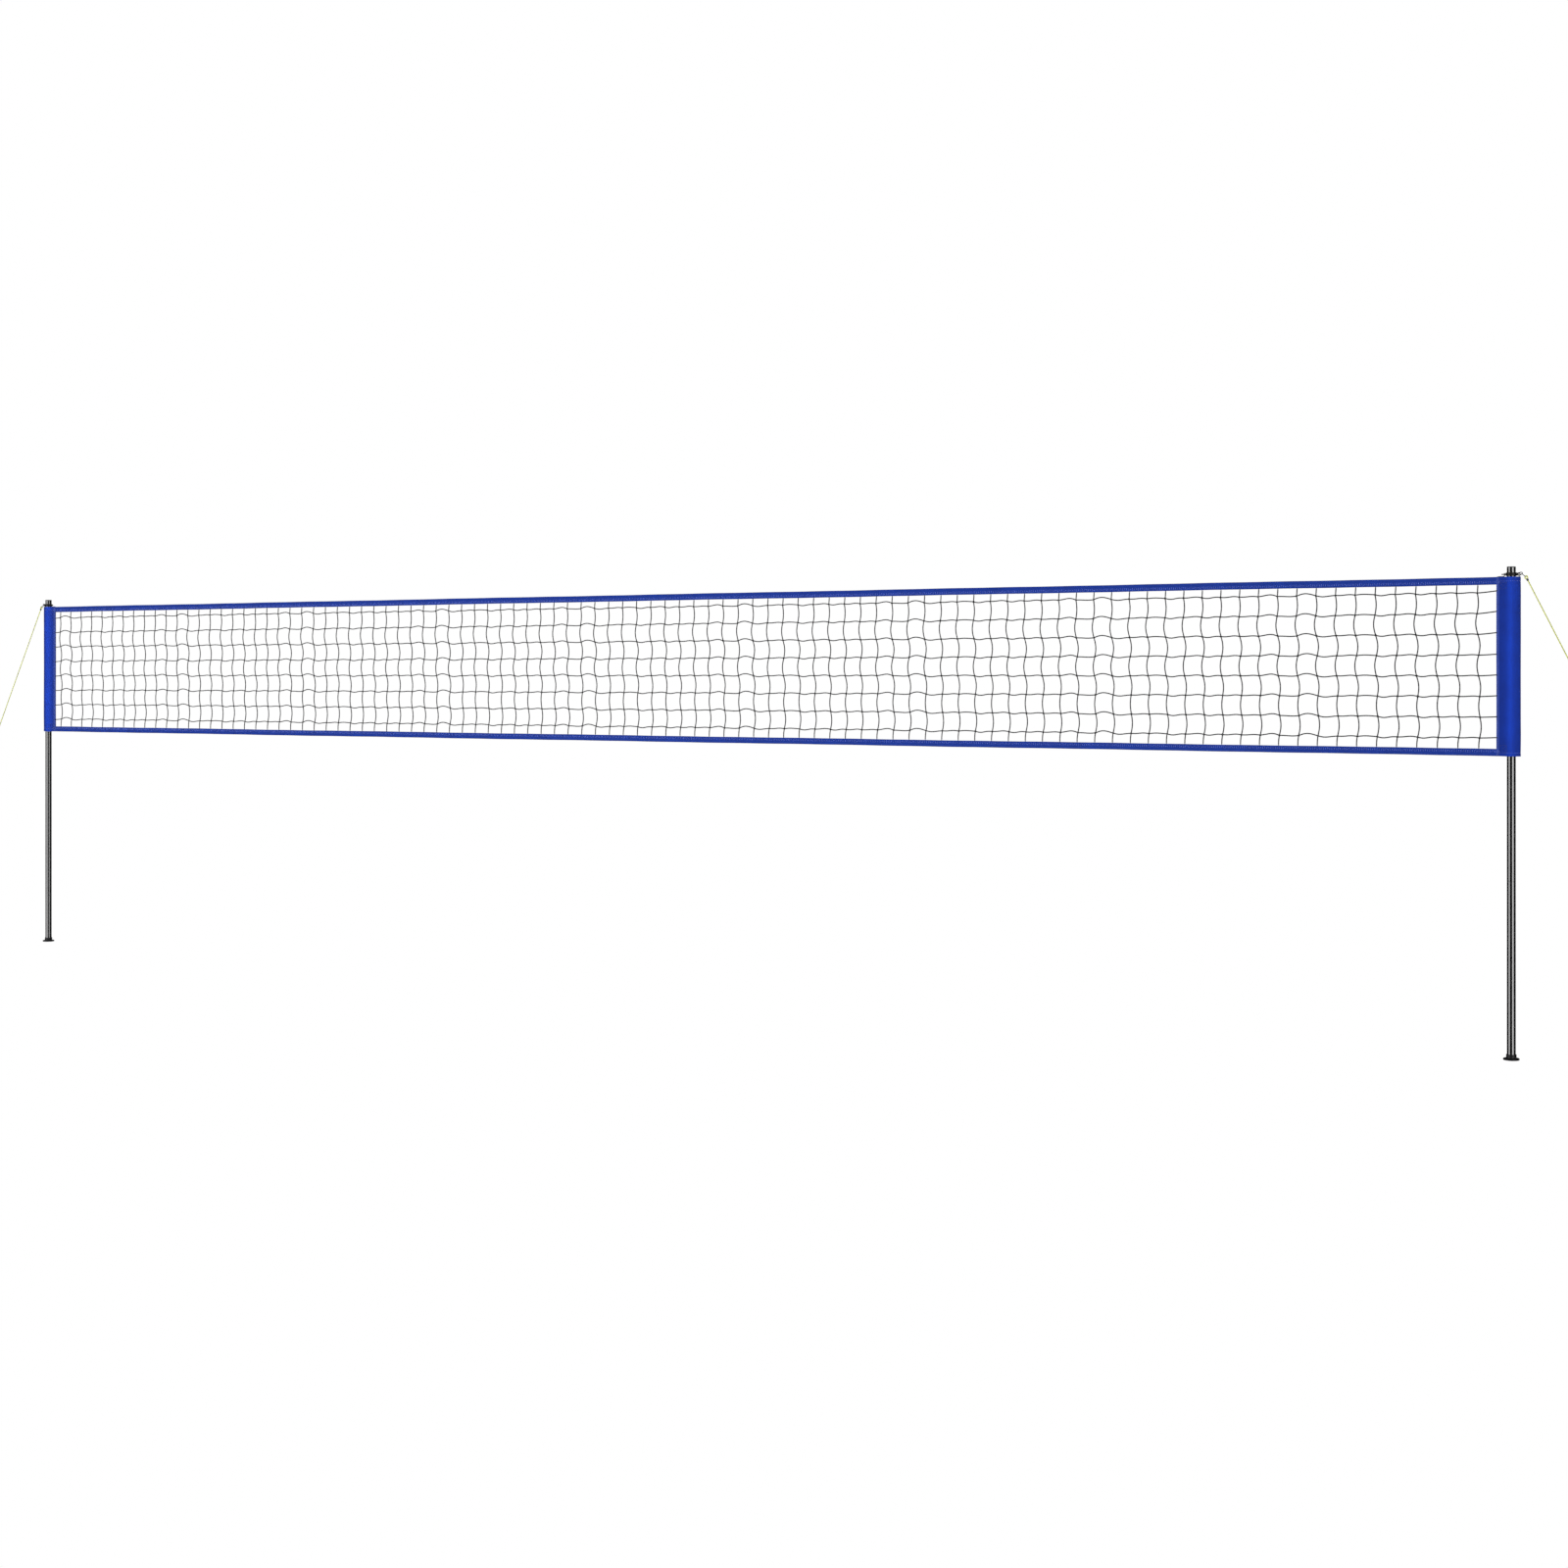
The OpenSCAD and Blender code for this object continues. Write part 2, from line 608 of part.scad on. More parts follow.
left_foot_pad();
right_foot_pad();
left_foot_base();
right_foot_base();
left_foot_screw();
right_foot_screw();
left_bottom_tube();
right_bottom_tube();
left_middle_tube();
right_middle_tube();
left_upper_tube();
right_upper_tube();
left_glide_bush();
right_glide_bush();
left_snap_button();
right_snap_button();
left_button_spring();
right_button_spring();
left_top_cap();
right_top_cap();
left_guy_collar();
right_guy_collar();
left_collar_screw();
right_collar_screw();
left_guy_hook();
right_guy_hook();
left_rope_eye();
right_rope_eye();
left_rope_ferrule();
right_rope_ferrule();
left_guy_rope();
right_guy_rope();
left_rope_end_loop();
right_rope_end_loop();
left_end_sleeve();
right_end_sleeve();
left_corner_tie();
right_corner_tie();
top_tape();
bottom_tape();
netting();
head_rope();
bottom_rope();
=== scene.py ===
import bmesh
import bpy
import numpy as np
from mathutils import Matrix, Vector


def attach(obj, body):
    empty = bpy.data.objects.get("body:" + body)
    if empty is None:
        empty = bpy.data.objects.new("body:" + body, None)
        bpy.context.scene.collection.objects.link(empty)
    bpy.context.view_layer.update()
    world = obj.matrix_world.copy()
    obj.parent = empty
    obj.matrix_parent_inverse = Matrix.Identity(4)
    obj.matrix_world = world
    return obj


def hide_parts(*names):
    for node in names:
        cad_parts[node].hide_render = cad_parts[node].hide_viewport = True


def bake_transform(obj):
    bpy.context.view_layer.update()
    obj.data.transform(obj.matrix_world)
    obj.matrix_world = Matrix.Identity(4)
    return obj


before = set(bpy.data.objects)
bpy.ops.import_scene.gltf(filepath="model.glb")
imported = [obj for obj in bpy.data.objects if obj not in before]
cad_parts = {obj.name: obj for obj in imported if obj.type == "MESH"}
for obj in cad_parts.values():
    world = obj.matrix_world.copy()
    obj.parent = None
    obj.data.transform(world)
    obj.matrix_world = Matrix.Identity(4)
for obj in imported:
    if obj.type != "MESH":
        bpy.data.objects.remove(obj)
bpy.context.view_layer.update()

print("frame loaded:", len(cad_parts), "nodes")

# Metres. The poles stand at x = -poleX and poleX, and the net hangs in the plane y = 0.
poleX = 4.832
sides = {"right": 1, "left": -1}


def setAll(item, **values):
    for key, value in values.items():
        setattr(item, key, value)
    return item


def addObject(name, data):
    thing = bpy.data.objects.new(name, data)
    bpy.context.collection.objects.link(thing)
    return thing


# Meshes from arrays.

def unit(v):
    return v / np.maximum(np.linalg.norm(v, axis=-1, keepdims=True), 1e-12)


def stack(*parts):
    # Arrays side by side along a new last axis, each spread out to the shape of all.
    return np.stack(np.broadcast_arrays(*parts), -1)


def gridFaces(count, rows, columns):
    # Quads between neighbouring rows and columns of a stack of grids, whose last column joins the
    # first. Also gives each corner's row and column, not wrapped, for texture coordinates.
    index = np.arange(count * rows * columns).reshape(count, rows, columns)
    row, column = np.meshgrid(np.arange(rows - 1), np.arange(columns), indexing="ij")
    r = stack(row, row, row + 1, row + 1).reshape(-1, 4)
    c = stack(column, column + 1, column + 1, column).reshape(-1, 4)
    return index[:, r, c % columns].reshape(-1, 4), r, c


def makeMesh(name, points, faceSets, uv):
    # One mesh from all its points and one array of faces for each number of sides. Corners past
    # the end of uv, which are at closed ends, get 0.
    mesh = bpy.data.meshes.new(name)
    points = np.reshape(points, (-1, 3)).astype(np.float32)
    corners = np.concatenate([faces.ravel() for faces in faceSets]).astype(np.int32)
    sizes = np.concatenate([np.full(len(faces), faces.shape[1]) for faces in faceSets])
    starts = np.concatenate([[0], np.cumsum(sizes)[:-1]]).astype(np.int32)
    mesh.vertices.add(len(points))
    mesh.vertices.foreach_set("co", points.ravel())
    mesh.loops.add(len(corners))
    mesh.loops.foreach_set("vertex_index", corners)
    mesh.polygons.add(len(starts))
    mesh.polygons.foreach_set("loop_start", starts)
    lay = np.zeros(2 * len(corners), np.float32)
    lay[:np.size(uv)] = np.ravel(uv)
    mesh.uv_layers.new(name="lay").uv.foreach_set("vector", lay)
    mesh.update(calc_edges=True)
    mesh.validate()
    mesh.polygons.foreach_set("use_smooth", np.ones(len(mesh.polygons), bool))
    return mesh


def addPiece(name, mesh, look, slot, replaced=(), body="net_and_uppers"):
    # A finished mesh becomes a piece that rides on its body and stands for its CAD nodes.
    piece = addObject(name, mesh)
    mesh.materials.clear()
    mesh.materials.append(finish[look])
    if body:
        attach(piece, body)
    if replaced:
        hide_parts(*replaced)
    return piece


def runLength(paths):
    # Distance along a line at each of its points, for one line or a stack of them.
    steps = np.linalg.norm(np.diff(paths, axis=-2), axis=-1)
    return np.concatenate([np.zeros(steps.shape[:-1] + (1,)), np.cumsum(steps, -1)], -1)


def resample(path, count):
    # The same line with count points at even distances.
    along = runLength(path)
    at = np.linspace(0, along[-1], count)
    return stack(*(np.interp(at, along, line) for line in np.transpose(path)))


def tubeParts(paths, radius, ring, across=(0, 1, 0), along=None):
    # Points, faces and texture coordinates of a stack of tubes, walls before end caps. A circle is
    # carried along each path: centre + radius * (cos(a) * side + sin(a) * across), where across is
    # the given direction made square to the path, and side completes the right-hand set. u goes
    # once round, and v is metres along, or as given for each point of a path, with 0 at the caps.
    paths = np.reshape(paths, (-1,) + np.shape(paths)[-2:])
    count, rows = paths.shape[:2]
    run = unit(np.gradient(paths, axis=-2))
    across = np.broadcast_to(across, run.shape)
    across = unit(across - (across * run).sum(-1, keepdims=True) * run)
    side = np.cross(across, run)
    a = np.arange(ring)[:, None] * 2 * np.pi / ring
    radius = np.broadcast_to(radius, (count, rows))[..., None, None]
    points = paths[..., None, :] + radius * (np.cos(a) * side[..., None, :]
                                             + np.sin(a) * across[..., None, :])
    walls, r, c = gridFaces(count, rows, ring)
    index = np.arange(count * rows * ring).reshape(count, rows, ring)
    caps = np.concatenate([index[:, 0, ::-1], index[:, -1]])
    turn = 0 if along is not None else np.arange(ring) / ring
    along = np.broadcast_to(runLength(paths) if along is None else along, (count, rows))
    wallUv = stack(c / ring, along[:, r])
    capUv = stack(turn, np.zeros(caps.shape))
    return (points.reshape(-1, 3), [walls, caps],
            np.concatenate([wallUv.reshape(-1, 2), capUv.reshape(-1, 2)]))


def tubeMesh(name, *shape):
    return makeMesh(name, *tubeParts(*shape))


def joined(name, parts):
    # Several (points, face sets, uv) parts as one mesh.
    points, faceSets, uv = zip(*parts)
    starts = np.cumsum([0] + [len(own) for own in points])
    faceSets = [faces + start for start, own in zip(starts, faceSets) for faces in own]
    return makeMesh(name, np.concatenate(points), faceSets, np.concatenate(uv))


def foldedStrip(name, grid, across, along, turned=False):
    # Each row of the grid goes out over a strip's outer face and back over its inner face. Quads
    # between the two close the first and the last row. u is given for each column and once more
    # for the first, v for each row. turned faces the other way.
    rows, columns = grid.shape[:2]
    walls, r, c = gridFaces(1, rows, columns)
    uv = stack(across[c], along[r])
    index = np.arange(rows * columns).reshape(rows, columns)
    near = np.arange(columns // 2 - 1)
    far = columns - 1 - near
    ends = stack(near, near + 1, far - 1, far)
    caps = np.concatenate([index[0][ends][:, ::-1], index[-1][ends]])
    if turned:
        walls, caps, uv = walls[:, ::-1], caps[:, ::-1], uv[:, ::-1]
    return makeMesh(name, grid, [walls, caps], uv)


# Materials.

finish = {}   # every material by its name


def addNode(tree, kind, values=(), **settings):
    node = setAll(tree.nodes.new("ShaderNode" + kind), **settings)
    for key, value in dict(values).items():
        if isinstance(value, bpy.types.NodeSocket):
            tree.links.new(value, node.inputs[key])
        else:
            node.inputs[key].default_value = value
    return node


def newMaterial(name, **fixed):
    finish[name] = bpy.data.materials.new(name)
    finish[name].use_nodes = True
    tree = finish[name].node_tree
    shader = tree.nodes["Principled BSDF"]
    for key, value in fixed.items():
        shader.inputs[key.replace("_", " ")].default_value = value
    return tree, shader


def noise(tree, vector, scale, detail, rough=0.5):
    return addNode(tree, "TexNoise", {"Vector": vector, "Scale": scale, "Detail": detail,
                                      "Roughness": rough}).outputs[0]


def maths(tree, operation, a, b=0.0, c=0.0):
    return addNode(tree, "Math", {0: a, 1: b, 2: c}, operation=operation).outputs[0]


def weighted(tree, start, *terms):
    # The start plus each value times its weight.
    for value, weight in terms:
        start = maths(tree, "MULTIPLY_ADD", value, weight, start)
    return start


def remap(tree, value, low, high, fromLow=0.0, fromHigh=1.0):
    return addNode(tree, "MapRange", {"Value": value, "From Min": fromLow, "From Max": fromHigh,
                                      "To Min": low, "To Max": high}).outputs[0]


def mixColours(tree, factor, a, b):
    # Inputs 6 and 7 of a Mix node are its two colours, and output 2 is the mixed one.
    return addNode(tree, "Mix", {"Factor": factor, 6: (*a, 1.0), 7: (*b, 1.0)},
                   data_type="RGBA").outputs[2]


def tint(colour, scale, lift=0.0):
    return tuple(min(1.0, c * scale + lift) for c in colour)


def stretched(tree, vector, scale):
    return addNode(tree, "Mapping", {"Vector": vector, "Scale": scale}).outputs[0]


def objectPlace(tree):
    return addNode(tree, "TexCoord").outputs["Object"]


def layPlace(tree):
    # The mesh's own texture coordinates: as a vector, and its u and v.
    lay = addNode(tree, "UVMap", uv_map="lay").outputs[0]
    split = addNode(tree, "SeparateXYZ", {"Vector": lay})
    return lay, split.outputs[0], split.outputs[1]


def wave(tree, value, pitch):
    # sin(2 pi value / pitch)
    return maths(tree, "SINE", maths(tree, "MULTIPLY", value, 2 * np.pi / pitch))


def dress(tree, shader, colour, rough, height, distance, strength):
    # Colour, roughness and a bump of the given height go to the shader.
    bump = addNode(tree, "Bump", {"Height": height, "Distance": distance, "Strength": strength})
    for key, value in (("Base Color", colour), ("Roughness", rough), ("Normal", bump.outputs[0])):
        tree.links.new(value, shader.inputs[key])


def mouldedPlastic(name, colour, rough, grain, gloss=0.45):
    # Fine moulded grain, slow changes of gloss, and lighter scuffs.
    tree, shader = newMaterial(name, Specular_IOR_Level=gloss)
    place = objectPlace(tree)
    slow = noise(tree, place, 45.0, 4.0)
    fine = noise(tree, place, 2200.0, 2.0)
    scuff = remap(tree, noise(tree, place, 260.0, 6.0, 0.7), 0.0, 0.35, 0.62, 0.78)
    dress(tree, shader, mixColours(tree, scuff, colour, tint(colour, 2.2, 0.03)),
          remap(tree, slow, rough - 0.08, rough + 0.1), fine, grain, 0.5)


def paintedSteel(name, colour, rough):
    # Smooth enamel: a faint orange peel, and hairline rubbing marks along the tube.
    tree, shader = newMaterial(name, Specular_IOR_Level=1.0, IOR=1.58)
    place = objectPlace(tree)
    hairlines = noise(tree, stretched(tree, place, (900.0, 900.0, 9.0)), 1.0, 3.0)
    rubbed = remap(tree, hairlines, 0.0, 1.0, 0.62, 0.75)
    peel = noise(tree, place, 420.0, 2.0)
    dress(tree, shader, mixColours(tree, rubbed, colour, tint(colour, 1.0, 0.012)),
          remap(tree, rubbed, rough, rough + 0.09), peel, 0.00002, 0.35)


def platedSteel(name, colour, rough):
    # Zinc plate: patchy tone and roughness with a fine drawn grain.
    tree, shader = newMaterial(name, Metallic=1.0)
    place = objectPlace(tree)
    patch = noise(tree, place, 380.0, 5.0, 0.65)
    grain = noise(tree, place, 3000.0, 2.0)
    tone = mixColours(tree, remap(tree, patch, 0.0, 1.0, 0.35, 0.7), tint(colour, 0.62), colour)
    dress(tree, shader, tone, remap(tree, patch, rough + 0.12, rough), grain, 0.00003, 0.5)


def wovenCloth(name, colour, slack=1.0):
    # Plain weave on the cloth's own u and v in metres: yarns go over and under by the product of
    # two sine waves. Slow patches and single darker yarns break up the colour, and the weave adds
    # painted shade where yarns dip under. Where the mesh's painted highlight attribute is 0 the
    # colour is darker by the slack factor, and where it is 1 it is full: a painted highlight band
    # with painted shade beside it.
    tree, shader = newMaterial(name, Sheen_Weight=0.06, Sheen_Roughness=0.45,
                               Sheen_Tint=(0.25, 0.35, 1.0, 1.0), Specular_IOR_Level=0.12)
    lay, u, v = layPlace(tree)
    yarnPitch = 0.0014
    weave = maths(tree, "MULTIPLY", wave(tree, u, yarnPitch), wave(tree, v, yarnPitch))
    slow = noise(tree, objectPlace(tree), 9.0, 5.0, 0.6)
    yarns = noise(tree, stretched(tree, lay, (900.0, 14.0, 1.0)), 1.0, 2.0)
    # The weave enters the colour: painted shade where yarns dip under, over random patches and yarns.
    tone = weighted(tree, 0.0, (weave, 0.1), (yarns, 0.3), (slow, 0.55))
    dyeAndPaintedShade = mixColours(tree, remap(tree, tone, 0.0, 1.0, 0.22, 0.62), tint(colour, 0.78),
                      tint(colour, 1.22))
    # Painted highlight and shade: the colour runs from the slack factor up to full across a band given
    # on the mesh.
    if slack < 1:
        highlightBand = addNode(tree, "Attribute", attribute_name="paintedHighlight").outputs["Fac"]
        shade = remap(tree, highlightBand, slack, 1.0)
        dyeAndPaintedShade = addNode(tree, "VectorMath", {0: dyeAndPaintedShade, "Scale": shade}, operation="SCALE").outputs[0]
    dress(tree, shader, dyeAndPaintedShade, remap(tree, slow, 0.71, 0.85), weave, 0.00012, 0.8)


def laidCord(name, colour, pitch, strands, crossed=False):
    # Strands that wind round a cord: sin(2 pi (v / pitch + strands * u)). A braid has a second
    # set that winds the other way, and the two are multiplied.
    tree, shader = newMaterial(name, Specular_IOR_Level=0.35, Sheen_Weight=0.15)
    lay, u, v = layPlace(tree)
    strand = wave(tree, weighted(tree, v, (u, strands * pitch)), pitch)
    if crossed:
        back = wave(tree, weighted(tree, v, (u, -strands * pitch)), pitch)
        strand = maths(tree, "MULTIPLY", strand, back)
    fray = noise(tree, objectPlace(tree), 700.0, 4.0)
    # The colour follows the strands' height: painted shade in the grooves and lighter crowns, over
    # random fraying tone.
    tone = remap(tree, weighted(tree, fray, (strand, 0.28)), 0.0, 1.0, 0.1, 0.9)
    dress(tree, shader, mixColours(tree, tone, tint(colour, 0.62), tint(colour, 1.25)),
          remap(tree, fray, 0.6, 0.77), strand, 0.00025, 0.8)


paintedSteel("blackPaint", (0.002, 0.002, 0.0025), 0.17)
mouldedPlastic("footPlastic", (0.006, 0.006, 0.007), 0.42, 0.00005, 0.16)
mouldedPlastic("footRubber", (0.009, 0.009, 0.010), 0.72, 0.00012)
mouldedPlastic("collarPlastic", (0.006, 0.006, 0.007), 0.38, 0.00005, 0.12)
mouldedPlastic("capPlastic", (0.007, 0.007, 0.008), 0.36, 0.00004, 0.26)
mouldedPlastic("ferrulePlastic", (0.018, 0.019, 0.023), 0.45, 0.00004)
mouldedPlastic("bushPlastic", (0.62, 0.62, 0.58), 0.4, 0.00004)
platedSteel("zincSteel", (0.52, 0.54, 0.57), 0.3)
platedSteel("springSteel", (0.36, 0.38, 0.41), 0.24)
platedSteel("buttonSteel", (0.6, 0.61, 0.63), 0.2)
laidCord("guyBraid", (0.46, 0.49, 0.027), 0.0045, 4, crossed=True)
laidCord("netTwine", (0.006, 0.006, 0.007), 0.012, 2)
laidCord("netRope", (0.007, 0.007, 0.009), 0.0035, 4, crossed=True)
wovenCloth("tapeCloth", (0.0065, 0.026, 0.205))
# The sleeve cloth is painted down to 0.54 of its colour away from its painted highlight band.
wovenCloth("sleeveCloth", (0.0058, 0.037, 0.37), slack=0.54)
wovenCloth("stripCloth", (0.022, 0.043, 0.22))
laidCord("paleThread", (0.13, 0.18, 0.62), 0.0016, 2)
laidCord("darkThread", (0.006, 0.014, 0.12), 0.0016, 2)
laidCord("tieCord", (0.10, 0.11, 0.13), 0.003, 4, crossed=True)
print("materials made")


# Camera, room and light.

camera = {"place": (7.569, -11.236, 1.787), "turn": 30.67, "lens": 54.7, "shiftX": 0.0001,
          "shiftY": -0.06955}
view = setAll(bpy.data.cameras.new("view"), sensor_width=36.0, lens=camera["lens"],
              shift_x=camera["shiftX"], shift_y=camera["shiftY"], clip_end=200.0)
bpy.context.scene.camera = setAll(addObject("view", view), location=camera["place"],
                                  rotation_euler=(np.pi / 2, 0.0, np.radians(camera["turn"])))
bpy.context.scene.view_settings.view_transform = "Standard"

# Brightness of the backing: what the camera sees, what lights matt surfaces, what gloss shows.
room = {"floor": 60.0, "floorZ": -0.0005, "white": 1.0, "fill": 0.36, "gloss": 0.02}
white = (1.0, 1.0, 1.0, 1.0)
world = bpy.data.worlds.new("studio")
world.use_nodes = True
bpy.context.scene.world = world
tree = world.node_tree
backing = tree.nodes["Background"].inputs
ray = addNode(tree, "LightPath").outputs
level = weighted(tree, room["fill"], (ray["Is Glossy Ray"], room["gloss"] - room["fill"]),
                 (ray["Is Camera Ray"], room["white"] - room["fill"]))
backing["Color"].default_value = white
tree.links.new(level, backing["Strength"])

# The floor glows by itself, exactly as bright as the backing, so thin dark strings read as dark
# in front of either.
half = room["floor"] / 2
floorMesh = bpy.data.meshes.new("floor")
floorMesh.from_pydata([(x * half, y * half, room["floorZ"])
                       for x, y in ((-1, -1), (1, -1), (1, 1), (-1, 1))], [], [(0, 1, 2, 3)])
floor = setAll(addObject("floor", floorMesh), visible_glossy=False, visible_diffuse=False)
newMaterial("paperFloor", Roughness=0.9, Specular_IOR_Level=0.0, Base_Color=(0.0, 0.0, 0.0, 1.0),
            Emission_Color=white, Emission_Strength=room["white"])
floorMesh.materials.append(finish["paperFloor"])

# Soft boxes: place, width, height, radiance, and what each one lights. The tall ones only show
# in glossy surfaces, as bright strips on the poles, and the wide ones only light matt surfaces.
boxes = {
    "stripRight": ((12.4, -4.9, 1.4), 6.0, 14.0, 5.2, "glossy"),
    "stripLeft": ((-7.3, -12.7, 1.4), 11.0, 18.0, 4.6, "glossy"),
    "stripRearRight": ((10.5, 10.5, 2.5), 2.6, 10.0, 0.8, "glossy"),
    "stripRearLeft": ((-10.5, 10.5, 2.5), 2.6, 10.0, 0.8, "glossy"),
    "wideFront": ((-0.8, -14.0, 4.2), 17.0, 8.0, 6.6, "matt"),
    "wideRear": ((-0.6, 14.0, 4.2), 17.0, 8.0, 3.6, "matt"),
}
for name, (place, width, height, radiance, use) in boxes.items():
    lamp = setAll(bpy.data.lights.new(name, "AREA"), shape="RECTANGLE", size=width, size_y=height,
                  energy=radiance * np.pi * width * height)
    aim = Vector((0.5 * place[0], 0.0, 1.2 if use == "matt" else place[2]))
    turn = (aim - Vector(place)).to_track_quat("-Z", "Y").to_euler()
    setAll(addObject(name, lamp), location=place, rotation_euler=turn, visible_camera=False,
           visible_diffuse=use == "matt", visible_glossy=use == "glossy")
print("camera and lights set")


# Guy ropes.

guy = {
    "start": (0.076, 2.223),   # out from the pole's axis, up from the ground
    "right": {"step": (0.014, -0.028), "count": 14, "length": 0.438},
    "left": {"step": (0.026, -0.051), "count": 16, "length": 0.916},
    "diameter": 0.005,
    "hookEnd": (0.067, 2.241), "slack": 0.00185,   # the eye lies this far past the hook's end
    "eyeRadius": 0.006, "eyeLength": 0.008, "eyeTail": 0.0015,
    "ferrule": 0.005, "groove": 0.09, "mouth": 0.28,   # radius, and shares of it
    "loopRadius": 0.015, "loopCord": 0.98, "windCord": 0.96,   # shares of the rope's thickness
    "knotLength": 0.0135, "knotRadius": 0.0046, "tuck": 0.002,
    "windTurns": 2.75, "windStart": 0.0005, "windLength": 0.0128,
}


def upright(out, z, side, y=0.0):
    # Points given out from a pole's axis and up, placed at the right or left pole.
    return stack(side * (poleX + out), y, z)


def guyPiece(sideName, part, mesh, node, look="guyBraid", slot="guy_fabric"):
    return addPiece(sideName + part, mesh, look, slot, [f"{sideName}_{node}"], f"{sideName}_guy")


for sideName, side in sides.items():
    own = guy[sideName]
    steps = np.arange(own["count"] + 1)
    route = upright(guy["start"][0] + own["step"][0] * steps,
                    guy["start"][1] + own["step"][1] * steps, side)
    down = unit(route[-1] - route[0])
    radius = guy["diameter"] / 2
    rope = resample(route, 24 * own["count"])
    ropePiece = guyPiece(sideName, "GuyRope", tubeMesh("rope", rope, radius, 14), "guy_rope")

    # Eye: out along one leg, round a half circle and back along the other, in the rope's plane.
    centre = upright(*guy["hookEnd"], side)
    toRope = unit(route[0] - centre)
    centre = centre + guy["slack"] * toRope
    upward = np.cross(toRope, (0.0, 1.0, 0.0))
    a = np.radians(np.arange(90, 271, 9))
    leg = np.linspace(1, 0, 7)[:-1]
    reach = (guy["eyeLength"] + guy["eyeTail"]) * leg
    along = np.concatenate([reach, guy["eyeRadius"] * np.cos(a), reach[::-1]])
    over = guy["eyeRadius"] - (guy["eyeRadius"] - radius) * leg ** 1.3
    rise = np.concatenate([over, guy["eyeRadius"] * np.sin(a), -over[::-1]])
    eye = resample(centre + along[:, None] * toRope + rise[:, None] * upward, 60)
    eyePiece = guyPiece(sideName, "RopeEye", tubeMesh("eye", eye, radius, 14), "rope_eye")

    # Ferrule: a short sleeve with three pressed grooves and rounded mouths.
    s = np.linspace(0, 1, 41)
    waist = 1 - guy["groove"] * np.exp(-((s[:, None] - (0.25, 0.5, 0.75)) / 0.045) ** 2).sum(1)
    mouth = np.sqrt(np.clip(1 - (np.clip(np.abs(s - 0.5) - 0.42, 0, 1) / 0.085) ** 2, 0.08, 1))
    along = guy["eyeLength"] + (np.linalg.norm(route[0] - centre) - guy["eyeLength"]) * s
    girth = guy["ferrule"] * waist * (1 - guy["mouth"] * (1 - mouth))
    ferrule = tubeMesh("ferrule", centre + along[:, None] * toRope, girth, 32, upward,
                       runLength(stack(along, girth)))
    ferrulePiece = guyPiece(sideName, "Ferrule", ferrule, "rope_ferrule", "ferrulePlastic",
                            "ferrule_plastic")

    # Peg loop: the rope runs on into a ring, and its end winds round the standing part.
    end = route[-1]
    square = np.cross(down, (0.0, 1.0, 0.0))
    cord = radius * guy["loopCord"]
    centre = end + (guy["knotLength"] + guy["loopRadius"] - guy["tuck"]) * down
    a = np.linspace(np.pi, -np.pi, 73)[:, None]
    ring = centre + guy["loopRadius"] * (np.cos(a) * down + np.sin(a) * square)
    t = np.linspace(0, 1, 90)[:, None]
    a = 2 * np.pi * guy["windTurns"] * t
    wind = (end + (guy["windStart"] + guy["windLength"] * t) * down
            + guy["knotRadius"] * (np.cos(a) * square + np.sin(a) * (0.0, 1.0, 0.0)))
    core = np.linspace(-guy["tuck"], guy["knotLength"] + guy["tuck"] / 2, 12)[:, None]
    knot = joined("pegLoop", [tubeParts(ring, cord, 14),
                              tubeParts(wind, cord * guy["windCord"], 12, down),
                              tubeParts(end + core * down, cord, 12)])
    loopPiece = guyPiece(sideName, "PegLoop", knot, "rope_end_loop")
    [tuple(p) for p in route]
print("guy ropes made")


# CAD pieces with softened edges.

soft = {
    "merge": 0.000005, "flat": 0.4,     # doubles nearer than this, flat faces to this many degrees
    "crease": 35.0,                     # degrees from which an edge is rounded and sharp
    "level": 0.00002, "wall": 0.0198,   # a tube's outer rim: level to this, farther from the axis
    "facing": 0.985, "tilt": 0.02,      # a round wall: cosine between its face and the radius, and tilt
}


def readAll(items, key, width, kind=float):
    # One property of all of a mesh's corners, points or faces, with a row for each.
    values = np.zeros(len(items) * width, kind)
    items.foreach_get(key, values)
    return values.reshape(-1, width)


def roundNormals(mesh, axisX):
    # Corners on walls that are round about a pole's axis get the exact direction away from it, so
    # long thin facets shade as one true cylinder.
    corner = readAll(mesh.corner_normals, "vector", 3)
    vertex = readAll(mesh.loops, "vertex_index", 1, np.int32)[:, 0]
    sizes = readAll(mesh.polygons, "loop_total", 1, np.int32)[:, 0]
    facing = np.repeat(readAll(mesh.polygons, "normal", 3), sizes, 0)
    away = readAll(mesh.vertices, "co", 3)[vertex] - (axisX, 0, 0)
    away[:, 2] = 0
    away = unit(away)
    match = (away * facing).sum(1)
    onRound = (np.abs(match) > soft["facing"]) & (np.abs(facing[:, 2]) < soft["tilt"])
    corner[onRound] = (away * np.sign(match)[:, None])[onRound]
    mesh.normals_split_custom_set(corner)


